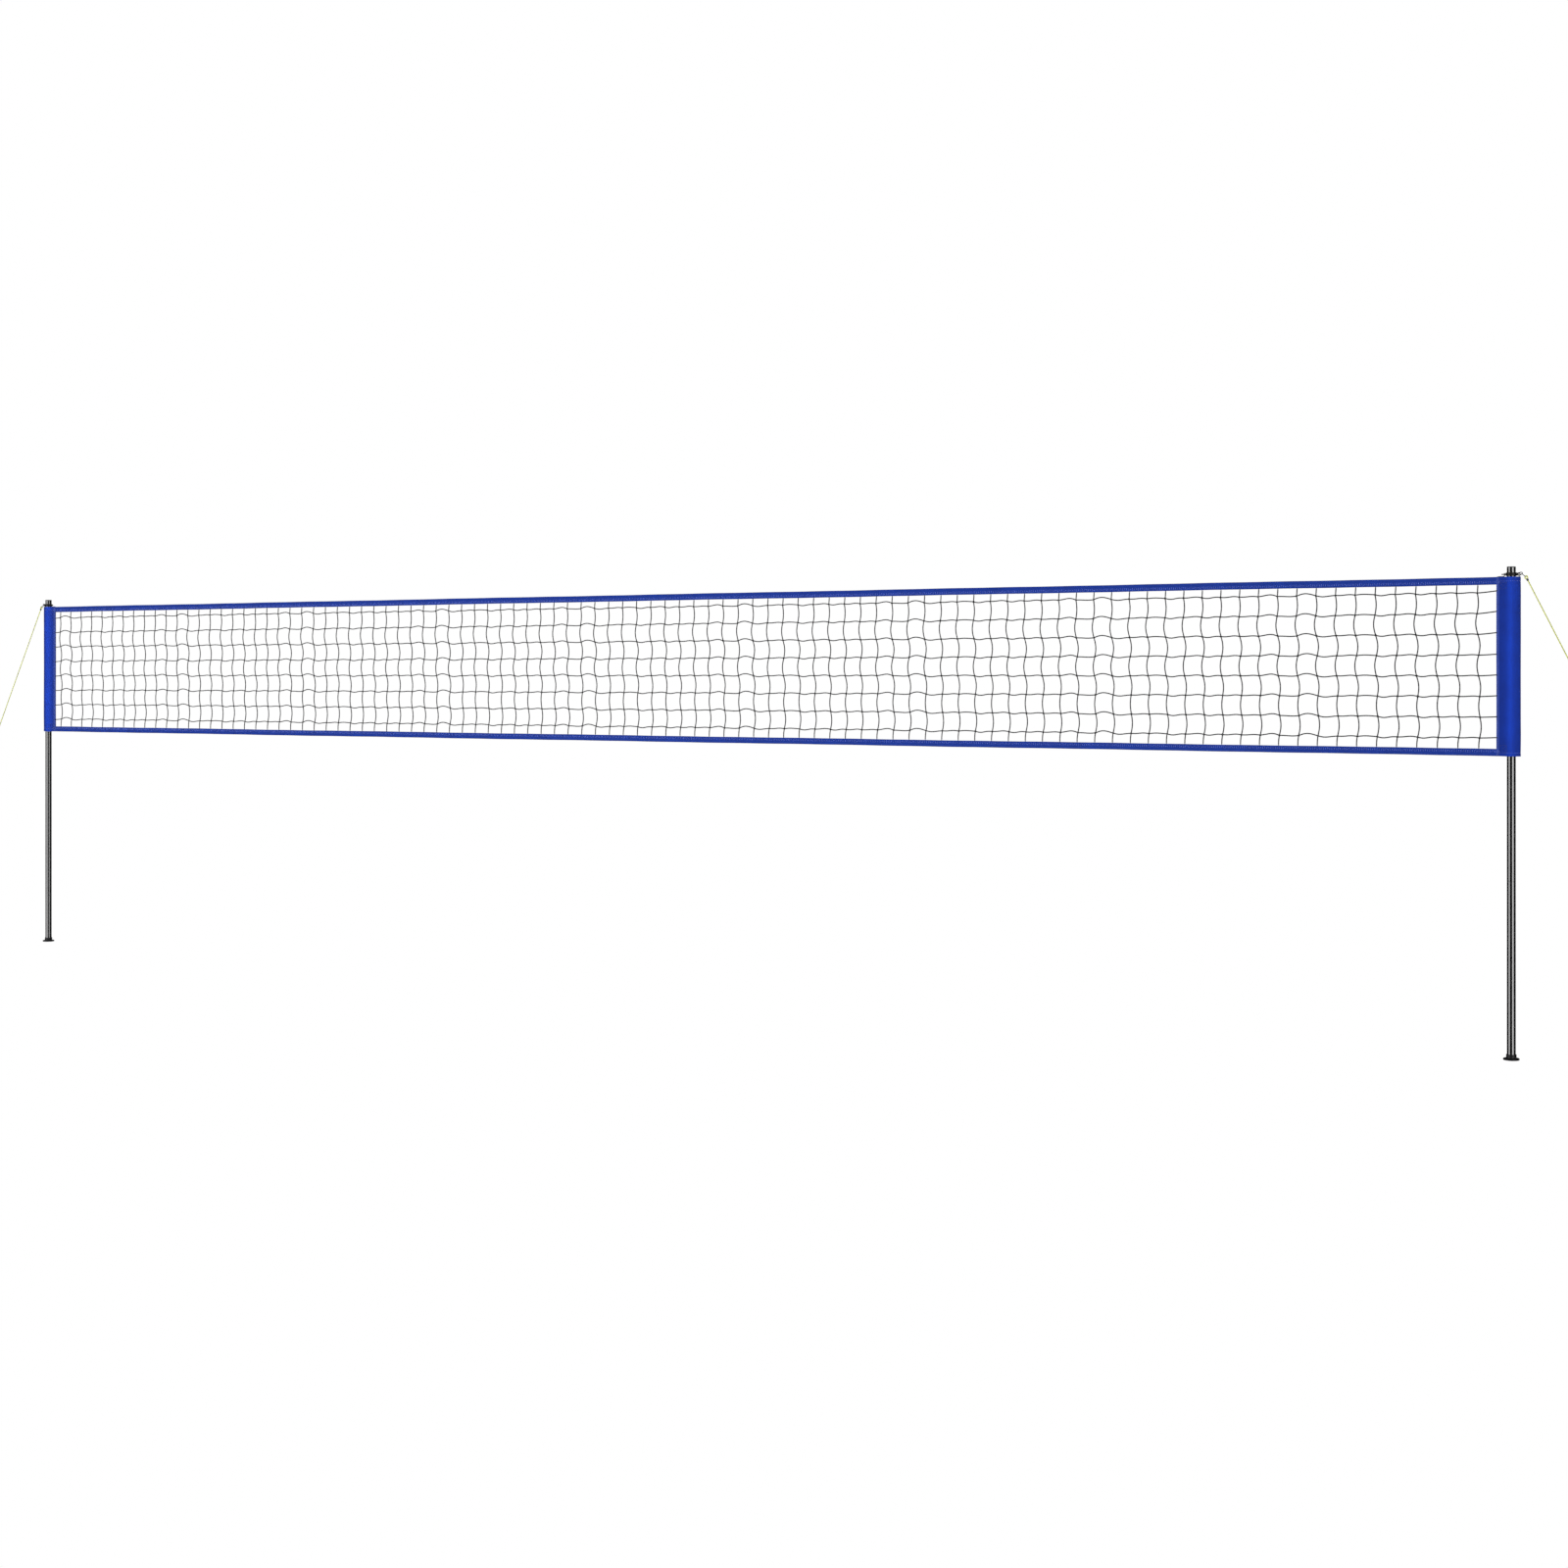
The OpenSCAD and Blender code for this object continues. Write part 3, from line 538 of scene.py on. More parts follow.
def softened(node, look, slot, body, edge):
    # A CAD node's mesh with doubles merged, flat faces joined and edges bevelled.
    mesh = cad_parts[node].data.copy()
    mesh.name = node + "Soft"
    crease = np.radians(soft["crease"])
    work = bmesh.new()
    work.from_mesh(mesh)
    bmesh.ops.remove_doubles(work, verts=work.verts, dist=soft["merge"])
    bmesh.ops.dissolve_limit(work, angle_limit=np.radians(soft["flat"]), verts=work.verts,
                             edges=work.edges, delimit=set())
    isTube = node.endswith("tube")
    axisX = poleX if node.startswith("right") else -poleX
    if isTube:
        # Only the outer rims at the tube's ends: level edges as far out as the wall.
        rims = [e for e in work.edges
                if abs(e.verts[0].co.z - e.verts[1].co.z) < soft["level"]
                and min(np.hypot(v.co.x - axisX, v.co.y) for v in e.verts) > soft["wall"]
                and e.is_manifold and e.calc_face_angle() > crease]
        bmesh.ops.bevel(work, geom=rims, offset=edge, offset_type="OFFSET", segments=2,
                        profile=0.5, affect="EDGES", clamp_overlap=False)
    work.to_mesh(mesh)
    work.free()
    mesh.polygons.foreach_set("use_smooth", np.ones(len(mesh.polygons), bool))
    mesh.set_sharp_from_angle(angle=crease)
    if isTube:
        roundNormals(mesh, axisX)
    piece = addPiece(node + "Shape", mesh, look, slot, [node], body)
    if edge and not isTube:
        setAll(piece.modifiers.new("edge", "BEVEL"), width=edge, segments=2, limit_method="ANGLE",
               angle_limit=crease, harden_normals=True, use_clamp_overlap=True)
    return piece


cadPieces = {   # material, slot, body, rounding of the edges
    "foot_pad": ("footRubber", "foot_rubber", "ground_poles", 0.0004),
    "foot_base": ("footPlastic", "foot_plastic", "ground_poles", 0.0004),
    "foot_screw": ("zincSteel", "screw_steel", "ground_poles", 0.0002),
    "bottom_tube": ("blackPaint", "pole_paint", "ground_poles", 0.0005),
    "middle_tube": ("blackPaint", "pole_paint", "ground_poles", 0.0005),
    "upper_tube": ("blackPaint", "pole_paint", "net_and_uppers", 0.0004),
    "glide_bush": ("bushPlastic", "bush_plastic", "net_and_uppers", 0.0),
    "snap_button": ("buttonSteel", "button_steel", "button", 0.0),
    "button_spring": ("springSteel", "spring_steel", None, 0.0),
    "top_cap": ("capPlastic", "cap_plastic", "net_and_uppers", 0.0004),
    "guy_collar": ("collarPlastic", "collar_plastic", "net_and_uppers", 0.0004),
    "collar_screw": ("zincSteel", "screw_steel", "net_and_uppers", 0.0002),
    "guy_hook": ("zincSteel", "hook_steel", "hook", 0.0),
}
lockSpring = {"button": 1.44, "fold": -0.0026, "pad": -0.0122}   # height, and two depths in the tube
for sideName, side in sides.items():
    for part, (look, slot, body, edge) in cadPieces.items():
        body = f"{sideName}_{body}" if body in ("button", "hook") else body
        piece = softened(f"{sideName}_{part}", look, slot, body, edge)
        if part == "button_spring":
            # The spring strip's placement is baked into its mesh.
            x, z = side * poleX, lockSpring["button"]
            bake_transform(piece)
print("CAD pieces finished")


# Netting.

net = {
    "top": 2.243, "height": 0.834, "innerEdge": 4.765, "topTape": 0.0355, "bottomTape": 0.034,
    "mesh": 0.09685, "shift": -0.016, "columns": 98, "levels": 8, "firstDrop": 0.073,
    "twine": 0.0058, "knot": 0.0102, "flatness": 0.72, "steps": 9, "ring": 7,
    # How far the knots of each level lie to the right, and how far the string bows below each.
    "knotShift": np.array((-0.0059, -0.0069, -0.0034, 0.0006, -0.0004, 0.0051, 0.0066, 0.0046)),
    "bow": np.array((0.0054, -0.008, 0.008, -0.0077, 0.0072, -0.0054, 0.0068)),
    # The same at the tapes; how deep the uprights go in, and the share of thickness they end with.
    "topShift": -0.0032, "bottomShift": 0.0008, "bottomBow": -0.0015, "tuck": 0.003, "tip": 0.4,
    # Slow sway of the uprights out of the plane, and of the level strings.
    "sway": 0.0009, "levelSway": 0.0007,
    # Lift and lean of a level string over each mesh; the row of eleven repeats to the left.
    "lift": np.array((0.001, 0.001, -0.001, 0.002, -0.002, 0.002, 0.001, -0.003, 0.007, -0.001,
                      0.005)),
    "lean": np.array((0.0012, 0.002, 0.0028, 0.0016, 0.0028, -0.0004, 0.0016, 0.0016, -0.0008,
                      -0.0008, 0.002)),
    # Rise of each level string where it reaches the right and the left sleeve.
    "edgeRise": {"right": np.array((0.0085, 0.010, 0.0078, 0.004, 0.0044, 0.004, 0.003, 0.003)),
                 "left": np.full(8, -0.004)},
}
netBottom = net["top"] - net["height"]
lowEdge = netBottom + net["bottomTape"]
highEdge = net["top"] - net["topTape"]
columnX = net["shift"] + net["mesh"] * ((net["columns"] - 1) / 2 - np.arange(net["columns"]))
levelZ = net["top"] - net["firstDrop"] - net["mesh"] * np.arange(net["levels"])
knotX = columnX[:, None] + net["knotShift"]          # by column, then level
chance = np.random.default_rng(7)

# Upright: straight from knot to knot, plus bow * sin(pi t), and a slow sway out of the plane.
t = np.arange(net["steps"]) / net["steps"]
shift = net["knotShift"]
bowed = (shift[:-1, None] * (1 - t) + shift[1:, None] * t
         + net["bow"][:, None] * np.sin(np.pi * t)).ravel()
rowZ = (levelZ[:-1, None] - net["mesh"] * t).ravel()
tailT = np.linspace(0, 1, 6)
headT = tailT[:-1]
head = net["topShift"] + (shift[0] - net["topShift"]) * headT ** 1.4
tail = (shift[-1] + (net["bottomShift"] - shift[-1]) * tailT
        + net["bottomBow"] * np.sin(np.pi * tailT))
headZ, tailZ = highEdge + net["tuck"], lowEdge - net["tuck"]
downZ = np.concatenate([headZ + (levelZ[0] - headZ) * headT, rowZ,
                        levelZ[-1] + (tailZ - levelZ[-1]) * tailT])
sway = net["sway"] * np.sin(37 * downZ + chance.uniform(0, 6.3, (net["columns"], 1)))
paths = stack(columnX[:, None] + np.concatenate([head, bowed, tail]), sway, downZ)
taper = np.clip(1 + np.minimum(highEdge - downZ, downZ - lowEdge) / net["tuck"], 0, 1)
twineR = net["twine"] / 2
radius = twineR * (net["tip"] + (1 - net["tip"]) * taper) * (1 + 0.05 * np.sin(downZ * 210))
addPiece("netUprights", tubeMesh("uprights", paths, radius, net["ring"]), "netTwine", "net_twine",
         ["netting"])

# Level: from knot to knot, plus lift * (pi / 2) sin(pi t) + lean * sin(2 pi t) in each mesh.
cell = np.arange(net["columns"] - 1) % len(net["lift"])
wavy = (net["lift"][cell, None] * np.pi / 2 * np.sin(np.pi * t)
        + net["lean"][cell, None] * np.sin(2 * np.pi * t)).ravel()
paths = []
endT = np.linspace(0, 1, 8)
for j, z in enumerate(levelZ):
    right = net["innerEdge"] + (knotX[0, j] - net["innerEdge"]) * endT[:-1]
    left = knotX[-1, j] + (-net["innerEdge"] - knotX[-1, j]) * endT
    x = np.concatenate([right, (knotX[:-1, j, None] * (1 - t) + knotX[1:, j, None] * t).ravel(), left])
    rise = np.concatenate([net["edgeRise"]["right"][j] * (1 - endT[:-1]) ** 1.3, wavy,
                           net["edgeRise"]["left"][j] * endT ** 0.8])
    paths.append(stack(x, net["levelSway"] * np.sin(5.3 * x + 2 * j), z + rise))
addPiece("netLevels", tubeMesh("levels", np.array(paths), twineR, net["ring"]), "netTwine",
         "net_twine")

# Knots: a squashed ball whose radius swells in four lobes, 1 + 0.2 cos(4 (longitude + latitude)).
bands, spokes = 5, 8
latitude = np.linspace(-np.pi / 2, np.pi / 2, bands + 2)[1:-1, None]
longitude = (np.arange(spokes) * 2 * np.pi / spokes)[None]
swell = net["knot"] / 2 * (1 + 0.2 * np.cos(4 * (longitude + latitude)))
ball = swell[..., None] * stack(np.cos(latitude) * np.cos(longitude), net["flatness"] * np.sin(latitude),
                                np.cos(latitude) * np.sin(longitude))
pole = net["flatness"] * net["knot"] / 2
ball = np.concatenate([ball.reshape(-1, 3), [[0, -pole, 0], [0, pole, 0]]])
quads, r, c = gridFaces(1, bands, spokes)
low, high = bands * spokes, bands * spokes + 1
first = np.arange(spokes)
last = first + low - spokes
fans = np.concatenate([stack(first, np.roll(first, -1), low), stack(high, np.roll(last, -1), last)])
spots = stack(knotX, 0, levelZ).reshape(-1, 3)
turn = chance.uniform(-0.35, 0.35, len(spots)) + np.pi / 4
grow = chance.uniform(0.92, 1.1, len(spots))
cosT, sinT = np.cos(turn)[:, None], np.sin(turn)[:, None]
knots = stack(ball[:, 0] * cosT - ball[:, 2] * sinT, ball[:, 1],
              ball[:, 0] * sinT + ball[:, 2] * cosT) * grow[:, None, None] + spots[:, None]
step = (np.arange(len(spots)) * len(ball))[:, None, None]
uv = np.tile(stack(c / spokes, r * 0.002), (len(spots), 1, 1))
mesh = makeMesh("knots", knots, [(step + quads[:, ::-1]).reshape(-1, 4),
                                 (step + fans).reshape(-1, 3)], uv)
addPiece("netKnots", mesh, "netTwine", "net_twine")
print("netting made")


# Stitches.

def stitches(name, groups, width, height, look, slot):
    # Threads lying on cloth, from groups of middles, directions, outward directions and lengths.
    # Half width * (0.35 + 0.65 (1 - s^4)^(1/2)) about a line that dips into the cloth at both ends
    # by height * s^2, with s from -1 to 1.
    middles, along, outwards = (np.concatenate([group[k] for group in groups]) for k in range(3))
    length = np.concatenate([np.broadcast_to(group[3], len(group[0])) for group in groups])
    s = np.linspace(-1, 1, 5)
    outwards = unit(outwards)[:, None]
    paths = (middles[:, None] + length[:, None, None] / 2 * s[:, None] * unit(along)[:, None]
             + (height * (0.5 - s ** 2))[:, None] * outwards)
    radius = width / 2 * (0.35 + 0.65 * np.sqrt(np.clip(1 - s ** 4, 0, 1)))
    addPiece(name, tubeMesh(name, paths, radius, 6, outwards, 0.002 * np.arange(5)), look, slot)


# Tapes.

tape = {
    "thickness": 0.0032, "cloth": 0.0012, "hem": 0.00405, "swell": 0.009, "overlap": 0.004,
    "pitch": 0.0105, "pucker": 0.00021, "puckerWidth": 0.005,
    # The tape bulges over each upright string, a little beside it, at its open edge.
    "bump": 0.0011, "bumpShift": -0.0025, "bumpWidth": 0.005, "bumpHeight": 0.009,
    "bar": 0.0130, "row": 0.012, "thread": 0.0019, "stand": 0.0011, "short": 0.007,
    "cut": (9.538, 0.086),
}


def tapeSection(height, grow):
    # Half-width at each height of a folded tape, from its open edge (0) to its fold (height):
    # flat, then swelling smoothly into the round hem over its rope. grow is 0 outside and the
    # cloth's thickness inside.
    hem = tape["hem"] - grow
    flat = max(tape["thickness"] / 2 - grow, 0.0003)
    middle = height - tape["hem"]
    angle = np.radians(np.linspace(8, 90, 6))
    low = np.array([0, 0.12, 0.26, 0.42, 0.6, 0.74, 0.88])
    rise = low * (middle + hem * np.sin(angle[0]))
    blend = np.clip((rise - (middle - tape["swell"])) / tape["swell"], 0, 1)
    width = flat + (hem * np.cos(angle[0]) - flat) * blend ** 2 * (3 - 2 * blend)
    half = stack(np.concatenate([width, hem * np.cos(angle)]),
                 np.concatenate([rise, middle + hem * np.sin(angle)]))
    return np.concatenate([half, (half * (-1, 1))[-2::-1]])


def foldedTape(name, z, up, height):
    # A U-shaped strip of cloth carried along the net. The outside dips at every stitch and bulges
    # over each upright string at the open edge, and slow waves keep the cloth from lying dead flat.
    reach = net["innerEdge"] + tape["overlap"]
    x = np.linspace(-reach, reach, int(2 * reach / (tape["pitch"] / 2)))
    section = np.concatenate([tapeSection(height, 0.0), tapeSection(height, tape["cloth"])[::-1]])
    level = section[:, 1]
    stitched = np.exp(-((level - tape["row"]) / tape["puckerWidth"]) ** 2)
    dips = tape["pucker"] * np.cos(2 * np.pi * x / tape["pitch"])[:, None] * stitched
    toString = np.abs(x[:, None] - (columnX + tape["bumpShift"])).min(1)
    lumps = (tape["bump"] * np.exp(-(toString / tape["bumpWidth"]) ** 2)[:, None]
             * np.clip(1 - level / tape["bumpHeight"], 0, 1) ** 1.5)
    slack = 0.0004 * np.sin(x[:, None] * 23 + level * 90) + 0.0003 * np.sin(x[:, None] * 61 + 1.3)
    y = section[:, 0] + np.sign(section[:, 0]) * (lumps - dips) + slack * np.clip(level / 0.01, 0, 1)
    drift = 0.0005 * np.sin(x * 4.1) + 0.0003 * np.sin(x * 17.0 + 0.6)
    grid = stack(x[:, None], y, z + up * (level + drift[:, None]))
    around = runLength(section)
    mesh = foldedStrip(name, grid[::up], np.append(around, around[-1] + 0.001), x)
    return addPiece(f"{name}Tape", mesh, "tapeCloth", "tape_fabric", [f"{name}_tape"])


for name, z, up, rope in (("top", highEdge, 1, "headRope"), ("bottom", lowEdge, -1, "bottomRope")):
    piece = foldedTape(name, z, up, net[f"{name}Tape"])

# Bars of thread up and down the tape on both faces, leaning a little one way and the other.
rowZ = {"top": highEdge + tape["row"], "bottom": lowEdge - tape["row"]}
reach = net["innerEdge"] - tape["short"]
count = round(2 * reach / tape["pitch"]) + 1
x = np.tile(np.linspace(-1, 1, count) * reach, 2)
face = np.repeat((-1.0, 1.0), count)
for name, z in rowZ.items():
    lean = np.tile(np.where(np.arange(count) % 2, 0.16, -0.1), 2) + chance.normal(0, 0.05, 2 * count)
    length = tape["bar"] * (1 + chance.normal(0, 0.05, 2 * count))
    group = (stack(x, face * tape["thickness"] / 2, z), stack(lean, 0, 1), stack(0, face, 0), length)
    stitches(f"{name}Stitches", [group], tape["thread"], tape["stand"], "paleThread", "tape_fabric")
print("tapes made")


# End sleeves.

sleeve = {
    "inner": 0.067, "outer": 0.043, "radius": 0.023, "cloth": 0.0012, "edge": 0.0016,
    "edgeInside": 0.0003, "seam": 0.008, "fold": 0.0018, "columns": 132, "cut": (0.262, 0.874),
    # Hems and the row of stitches that holds each one.
    "hemTop": 0.020, "hemBottom": 0.016, "hemRise": 0.0005, "hemBlend": 0.0016, "pitch": 0.0104,
    "dip": 0.0005, "dipWidth": 0.0016, "scallop": 0.0002, "scallopWidth": 0.005,
    # Slanting folds near the corners, the difference between the faces' folds, and the rope's swell.
    "slant": 0.0005, "slantFade": 0.12, "faceShift": 0.004, "swellFrom": -0.047, "swellOver": 0.006,
    # Where each sleeve's painted highlight band lies across it, and its width.
    "highlightAt": {"right": 0.007, "left": -0.014}, "highlightWidth": 0.024,
}


def sleeveSection(radius, inner, outer, edge, columns):
    # Cloth drawn tight round the pole: from the inner edge along a tangent to the circle, round
    # it, and down a tangent to the outer edge. The back is its mirror image.
    turns = np.arccos(radius / np.array((inner, outer)))
    (nearX, farX), (nearY, farY) = radius * np.cos(turns), radius * np.sin(turns)
    a = np.linspace(np.pi - np.arctan2(nearY, nearX), np.arctan2(farY, farX), 60)
    front = np.concatenate([np.linspace((-inner, edge), (-nearX, nearY), 60)[:-1],
                            stack(radius * np.cos(a), radius * np.sin(a))[:-1],
                            np.linspace((farX, farY), (outer, edge), 60)])
    return resample(front, columns // 2)


def sleeveShape(u, z):
    # How far the cloth stands out from its plain section: soft upright folds, and at each end a
    # hem, a dip and scallops along its stitch line, and slanting folds that fade away from it.
    out = (0.00016 * np.sin(260 * u + 3.1 * z) + 0.0002 * np.sin(150 * u - 7.0 * z + 1.0)
           + 0.0003 * np.sin(11 * z + 40 * u + 2.0))
    for end, way, depth in ((net["top"], -1, sleeve["hemTop"]), (netBottom, 1, sleeve["hemBottom"])):
        inward = way * (z - end)
        short = depth - inward
        out = (out + sleeve["hemRise"] * (1 + np.tanh(short / sleeve["hemBlend"])) / 2
               - sleeve["dip"] * np.exp(-((short + 0.0005) / sleeve["dipWidth"]) ** 2)
               + sleeve["scallop"] * np.exp(-(short / sleeve["scallopWidth"]) ** 2)
               * np.cos(2 * np.pi * u / sleeve["pitch"])
               + sleeve["slant"] * np.sin(95 * (u + way * 0.35 * inward))
               * np.exp(-inward / sleeve["slantFade"]))
    return out


def hemSwell(u, z, y):
    # The sleeve's inner corners stand out round the net's ropes.
    near = np.clip((sleeve["swellFrom"] - u) / sleeve["swellOver"], 0, 1)
    bulge = 0
    for ropeZ in (net["top"] - tape["hem"], netBottom + tape["hem"]):
        bulge = bulge + np.sqrt(np.clip(tape["hem"] ** 2 - (z - ropeZ) ** 2, 0, 1))
    return np.sign(y) * np.clip(near * bulge - np.abs(y), 0, 1)


rows = np.unique(np.concatenate([np.linspace(netBottom, net["top"], 120),
                                 np.linspace(netBottom, netBottom + 0.024, 22),
                                 np.linspace(net["top"] - 0.028, net["top"], 24)]))
outside = (sleeve["radius"], sleeve["inner"], sleeve["outer"], sleeve["edge"])
inside = (sleeve["radius"] - sleeve["cloth"], sleeve["inner"] - sleeve["seam"],
          sleeve["outer"] - sleeve["fold"], sleeve["edgeInside"])
for sideName, side in sides.items():
    shells = []
    for shell in (outside, inside):
        front = sleeveSection(*shell, sleeve["columns"])
        section = np.concatenate([front, (front * (1, -1))[::-1]])
        edgeRun = unit(np.roll(section, -1, 0) - np.roll(section, 1, 0))
        normal = stack(-edgeRun[:, 1], edgeRun[:, 0])
        u, z = np.meshgrid(section[:, 0], rows)
        out = sleeveShape(u + sleeve["faceShift"] * np.sign(section[:, 1]), z)
        if shells:
            out = np.minimum(out, 0.0002) / 2
        shape = section + normal * out[..., None]
        y = shape[..., 1] + (0 if shells else hemSwell(shape[..., 0], z, shape[..., 1]))
        shells.append(stack(shape[..., 0], y, z))
    # Up the outside, over the top rim, down the inside and round to the start: a closed ring.
    grid = np.concatenate([shells[0], shells[1][::-1]])
    quads, r, c = gridFaces(1, *grid.shape[:2])
    index = np.arange(grid[..., 0].size).reshape(grid.shape[:2])
    first, last = index[0], index[-1]
    close = stack(last, np.roll(last, -1), np.roll(first, -1), first)
    faces = np.concatenate([quads, close])
    uv = stack(runLength(np.concatenate([section, section[:1]]))[c], grid[r, 0, 2])
    if side > 0:
        faces, uv = faces[:, ::-1], uv[:, ::-1]
    mesh = makeMesh("endSleeve", upright(grid[..., 0], grid[..., 2], side, grid[..., 1]), [faces], uv)
    # Painted highlight: the colour is full along one upright band, exp(-((u - middle) / width)^2),
    # and painted darker away from it, as shade on the round sleeve.
    highlightBand = np.exp(-((grid[..., 0] - sleeve["highlightAt"][sideName]) / sleeve["highlightWidth"]) ** 2)
    paintedHighlight = mesh.attributes.new("paintedHighlight", "FLOAT", "POINT")
    paintedHighlight.data.foreach_set("value", highlightBand.astype(np.float32).ravel())
    piece = addPiece(f"{sideName}Sleeve", mesh, "sleeveCloth", "sleeve_fabric",
                     [f"{sideName}_end_sleeve"])
print("sleeves made")


# Sleeve trim.

trim = {
    # Rows of thread: along the hems, down the inner edge, and at the ends of the tapes' rows.
    "dots": (-0.048, 0.04), "dotLength": 0.0056, "edgeAt": -0.0642, "edgeShort": 0.006,
    "barsAt": np.array((-0.0645, -0.0555)), "thread": 0.0019, "stand": 0.0009,
    # Boxed crosses of dark thread at both inner corners.
    "boxAt": -0.0523, "boxZ": (net["top"] - 0.056, netBottom + 0.0215), "box": np.array((0.038, 0.029)),
    "crossPitch": 0.0048, "crossLength": 0.0042, "crossThread": 0.0015, "crossStand": 0.0006,
    # The binding: where it ends, its thickness, its gap to the sleeve, and its turn at the edge.
    "stripEnd": -0.0535, "stripShort": 0.001, "stripCloth": 0.0007, "stripGap": 0.0001,
    "stripTurn": 0.002, "stripLay": 0.0012, "stripCut": (0.03, 0.834),
    # Turns of the level strings round the bound edge.
    "loop": 0.0035, "loopWire": 0.0014, "loopOut": 0.0012, "loopGap": 0.0013,
}
frontSection = sleeveSection(*outside, 800)
frontRun = unit(np.gradient(frontSection, axis=0))
frontNormal = stack(-frontRun[:, 1], frontRun[:, 0])
frontLength = runLength(frontSection)
upZ = np.array([0.0, 0.0, 1.0])


def onSleeve(s, z, face, side):
    # Place, direction round the sleeve and outward direction at arc length s from the inner edge.
    u, y, runU, runY, outU, outY = (
        np.interp(s, frontLength, table[:, k])
        for table in (frontSection, frontRun, frontNormal) for k in (0, 1))
    lift = sleeveShape(u + sleeve["faceShift"] * face, z)
    u, y = u + outU * lift, y + outY * lift
    y = y + hemSwell(u, z, y)
    return (upright(u, z, side, face * y), stack(side * runU, face * runY, 0),
            stack(side * outU, face * outY, 0))


def arcAt(u):
    return np.interp(u, frontSection[:, 0], frontLength)


def onBothFaces(s, z, side, length, along, up, lift=0.0):
    # Groups of stitches that run along the section and up the sleeve in the given shares.
    groups = []
    for face in (-1, 1):
        place, run, out = onSleeve(s, z, face, side)
        groups.append((place + out * lift, along * run + up * upZ, out, length))
    return groups


corners = np.array([(0, 0), (1, 0), (1, 1), (0, 1)], float)
for sideName, side in sides.items():
    dots = np.arange(*arcAt(trim["dots"]), sleeve["pitch"])
    groups = []
    for z in (net["top"] - sleeve["hemTop"], netBottom + sleeve["hemBottom"]):
        groups += onBothFaces(dots, z, side, trim["dotLength"], 1, 0)
    edgeZ = np.arange(netBottom + trim["edgeShort"], net["top"] - trim["edgeShort"], sleeve["pitch"])
    groups += onBothFaces(arcAt(trim["edgeAt"]) + 0 * edgeZ, edgeZ, side, trim["dotLength"], 0, 1,
                          trim["stripCloth"])
    for z in rowZ.values():
        groups += onBothFaces(arcAt(trim["barsAt"]), z, side, tape["bar"], 0.12, 1, trim["stripCloth"])
    stitches(f"{sideName}SleeveStitches", groups, trim["thread"], trim["stand"], "paleThread",
             "sleeve_fabric")

    # Box and cross: four sides and two diagonals of short dark stitches.
    groups = []
    for lowZ in trim["boxZ"]:
        for i, j in ((0, 1), (1, 2), (2, 3), (3, 0), (0, 2), (1, 3)):
            line = (corners[j] - corners[i]) * trim["box"]
            reach = np.linalg.norm(line)
            k = (np.arange(int(reach / trim["crossPitch"])) + 0.5) * trim["crossPitch"] / reach
            k = k + (1 - k[-1] - k[0]) / 2
            spot = corners[i] * trim["box"] + k[:, None] * line
            groups += onBothFaces(arcAt(trim["boxAt"]) + spot[:, 0], lowZ + spot[:, 1], side,
                                  trim["crossLength"], *(line / reach))
    stitches(f"{sideName}CornerStitches", groups, trim["crossThread"], trim["crossStand"],
             "darkThread", "sleeve_fabric")

    # Binding: a strip of cloth folded over the sleeve's inner edge, a cloth's thickness proud.
    stripZ = np.linspace(netBottom + trim["stripShort"], net["top"] - trim["stripShort"], 140)
    arc, z = np.meshgrid(np.linspace(arcAt(trim["stripEnd"]), 0, 12), stripZ)
    shells = []
    for lift in (trim["stripCloth"] + 2 * trim["stripGap"], trim["stripGap"]):
        edgeOut = np.clip(1 - arc / trim["stripTurn"], 0, 1)[..., None] * (-side * lift, 0, 0)
        halves = []
        for face in (1, -1):
            place, run, out = onSleeve(arc, z, face, side)
            halves.append((place + out * lift + edgeOut)[:, ::face])
        shells.append(np.concatenate(halves, 1))
    grid = np.concatenate([shells[0], shells[1][:, ::-1]], 1)
    mesh = foldedStrip("binding", grid, trim["stripLay"] * np.arange(grid.shape[1] + 1), stripZ,
                       side < 0)
    binding = addPiece(f"{sideName}Binding", mesh, "stripCloth", "sleeve_fabric")

    # Each level string goes round the bound edge in two small turns.
    a = np.linspace(0, 2 * np.pi, 17)
    centres = stack(side * (net["innerEdge"] + trim["loopOut"]), 0, levelZ + net["edgeRise"][sideName])
    centres = np.concatenate([centres + upZ * trim["loopGap"], centres - upZ * trim["loopGap"]])
    loops = centres[:, None] + trim["loop"] * stack(np.cos(a), np.sin(a), 0)
    addPiece(f"{sideName}EdgeTurns", tubeMesh("turns", loops, trim["loopWire"], 7, upZ), "netTwine",
             "net_twine")
print("sleeve trim made")


# Ropes in the tapes, and corner ties.

ropes = {
    "diameter": 0.004, "loopOut": 0.031, "loop": 0.0048, "loopCord": 0.98, "prongZ": 2.2545,
    "over": 0.0012,   # the head rope lies this far over the sleeve's top
    "tail": 0.02, "knot": 0.0028, "knotHalf": 0.0032,
    "tie": 0.0024, "tieOut": 0.0355, "tieHalf": 0.004708, "tieBend": 2.24738, "tieDown": 0.007,
}
ropeR = ropes["diameter"] / 2
headZ, footZ = net["top"] - tape["hem"], netBottom + tape["hem"]

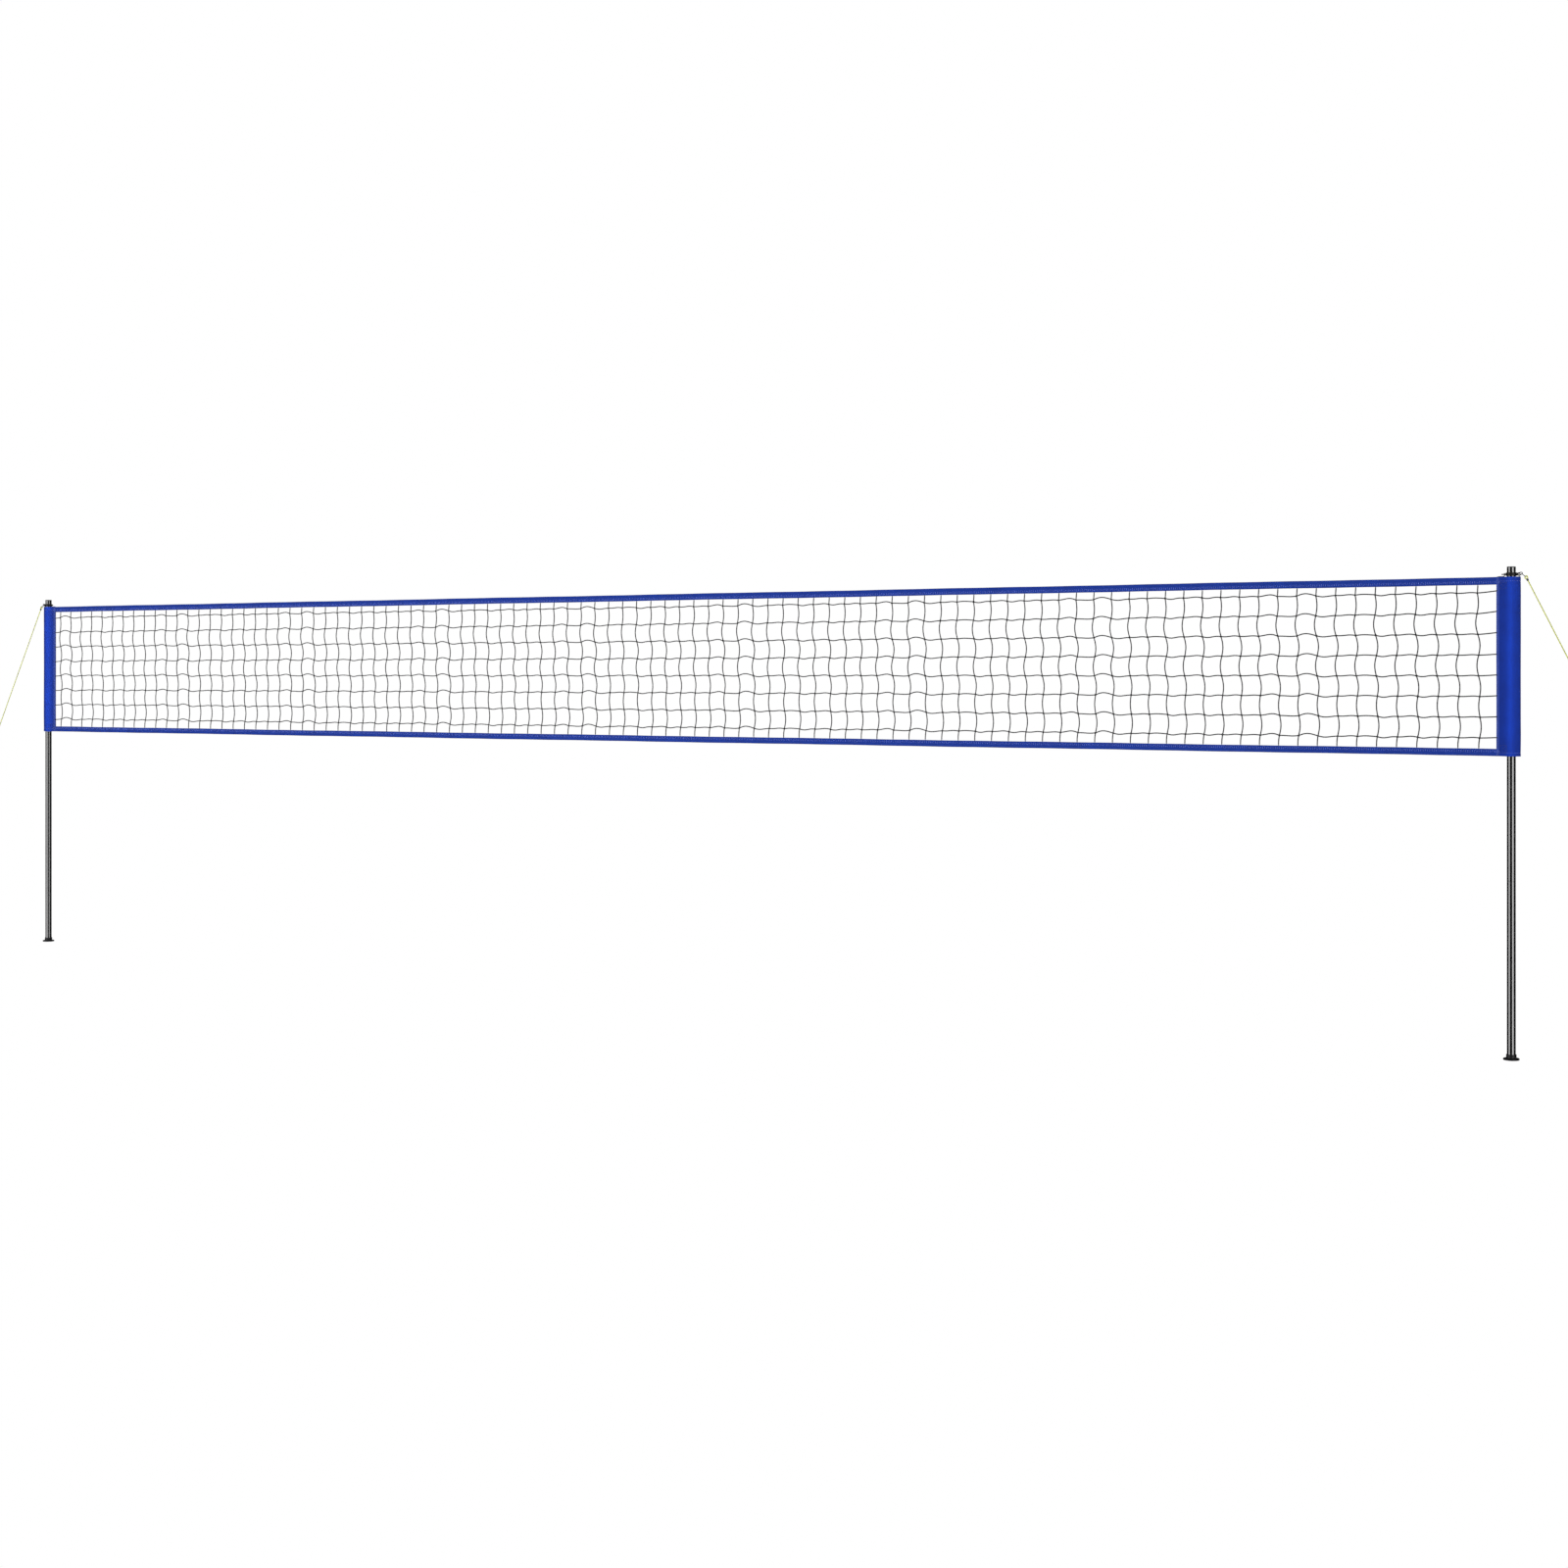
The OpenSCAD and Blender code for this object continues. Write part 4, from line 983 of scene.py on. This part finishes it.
# Head rope: along the top hem, out over each sleeve's top, up and round the collar's prong.
lieZ = net["top"] + ropes["over"]
bendUp = resample([(4.740, headZ), (4.757, headZ + 0.0002), (4.763, headZ + 0.0014),
                   (4.768, lieZ - 0.0012), (4.774, lieZ), (4.7945, lieZ), (4.7985, lieZ + 0.0011),
                   (4.8005, lieZ + 0.0036), (4.801, ropes["prongZ"] - ropes["loop"])], 48)
middle = np.linspace((-bendUp[0, 0], headZ), bendUp[0], 400)[1:-1]
line = np.concatenate([(bendUp * (-1, 1))[::-1], middle, bendUp])
parts = [tubeParts(stack(line[:, 0], 0, line[:, 1]), ropeR, 8)]
a = np.linspace(0, 2 * np.pi, 33)
for side in sides.values():
    centre = upright(-ropes["loopOut"], ropes["prongZ"], side)
    ring = centre + ropes["loop"] * stack(0, np.cos(a), np.sin(a))
    parts.append(tubeParts(ring, ropeR * ropes["loopCord"], 10, (1, 0, 0)))
addPiece("headRope", joined("headRope", parts), "netRope", "rope_fabric", ["head_rope"])

# Bottom rope: straight through its hem, with a stopper knot inside each sleeve.
reach = net["innerEdge"] + ropes["tail"]
parts = [tubeParts(np.linspace((-reach, 0, footZ), (reach, 0, footZ), 400), ropeR, 8)]
s = np.linspace(-1, 1, 11)
x = s * ropes["knotHalf"]
radius = ropes["knot"] * np.sqrt(np.clip(1.08 - s ** 2, 0, 1)) * (1 - 0.12 * np.cos(6 * s))
for side in sides.values():
    parts.append(tubeParts(stack(side * reach + x, 0, footZ), radius, 14, (0, 0, -1),
                           runLength(stack(x, radius))))
addPiece("bottomRope", joined("bottomRope", parts), "netRope", "rope_fabric", ["bottom_rope"])

# Corner tie: through the collar's wing and down both faces of the sleeve's outer top corner.
half, bend = ropes["tieHalf"], ropes["tieBend"]
a = np.linspace(0, np.pi, 25)
leg = np.linspace(net["top"] - ropes["tieDown"], bend, 9)[:-1]
y = np.concatenate([0 * leg + half, half * np.cos(a), 0 * leg - half])
z = np.concatenate([leg, bend + half * np.sin(a), leg[::-1]])
for sideName, side in sides.items():
    path = upright(ropes["tieOut"], z, side, y)
    addPiece(f"{sideName}CornerTie", tubeMesh("tie", path, ropes["tie"] / 2, 12, (1, 0, 0)),
             "tieCord", "tie_fabric", [f"{sideName}_corner_tie"])
print("ropes and ties made")
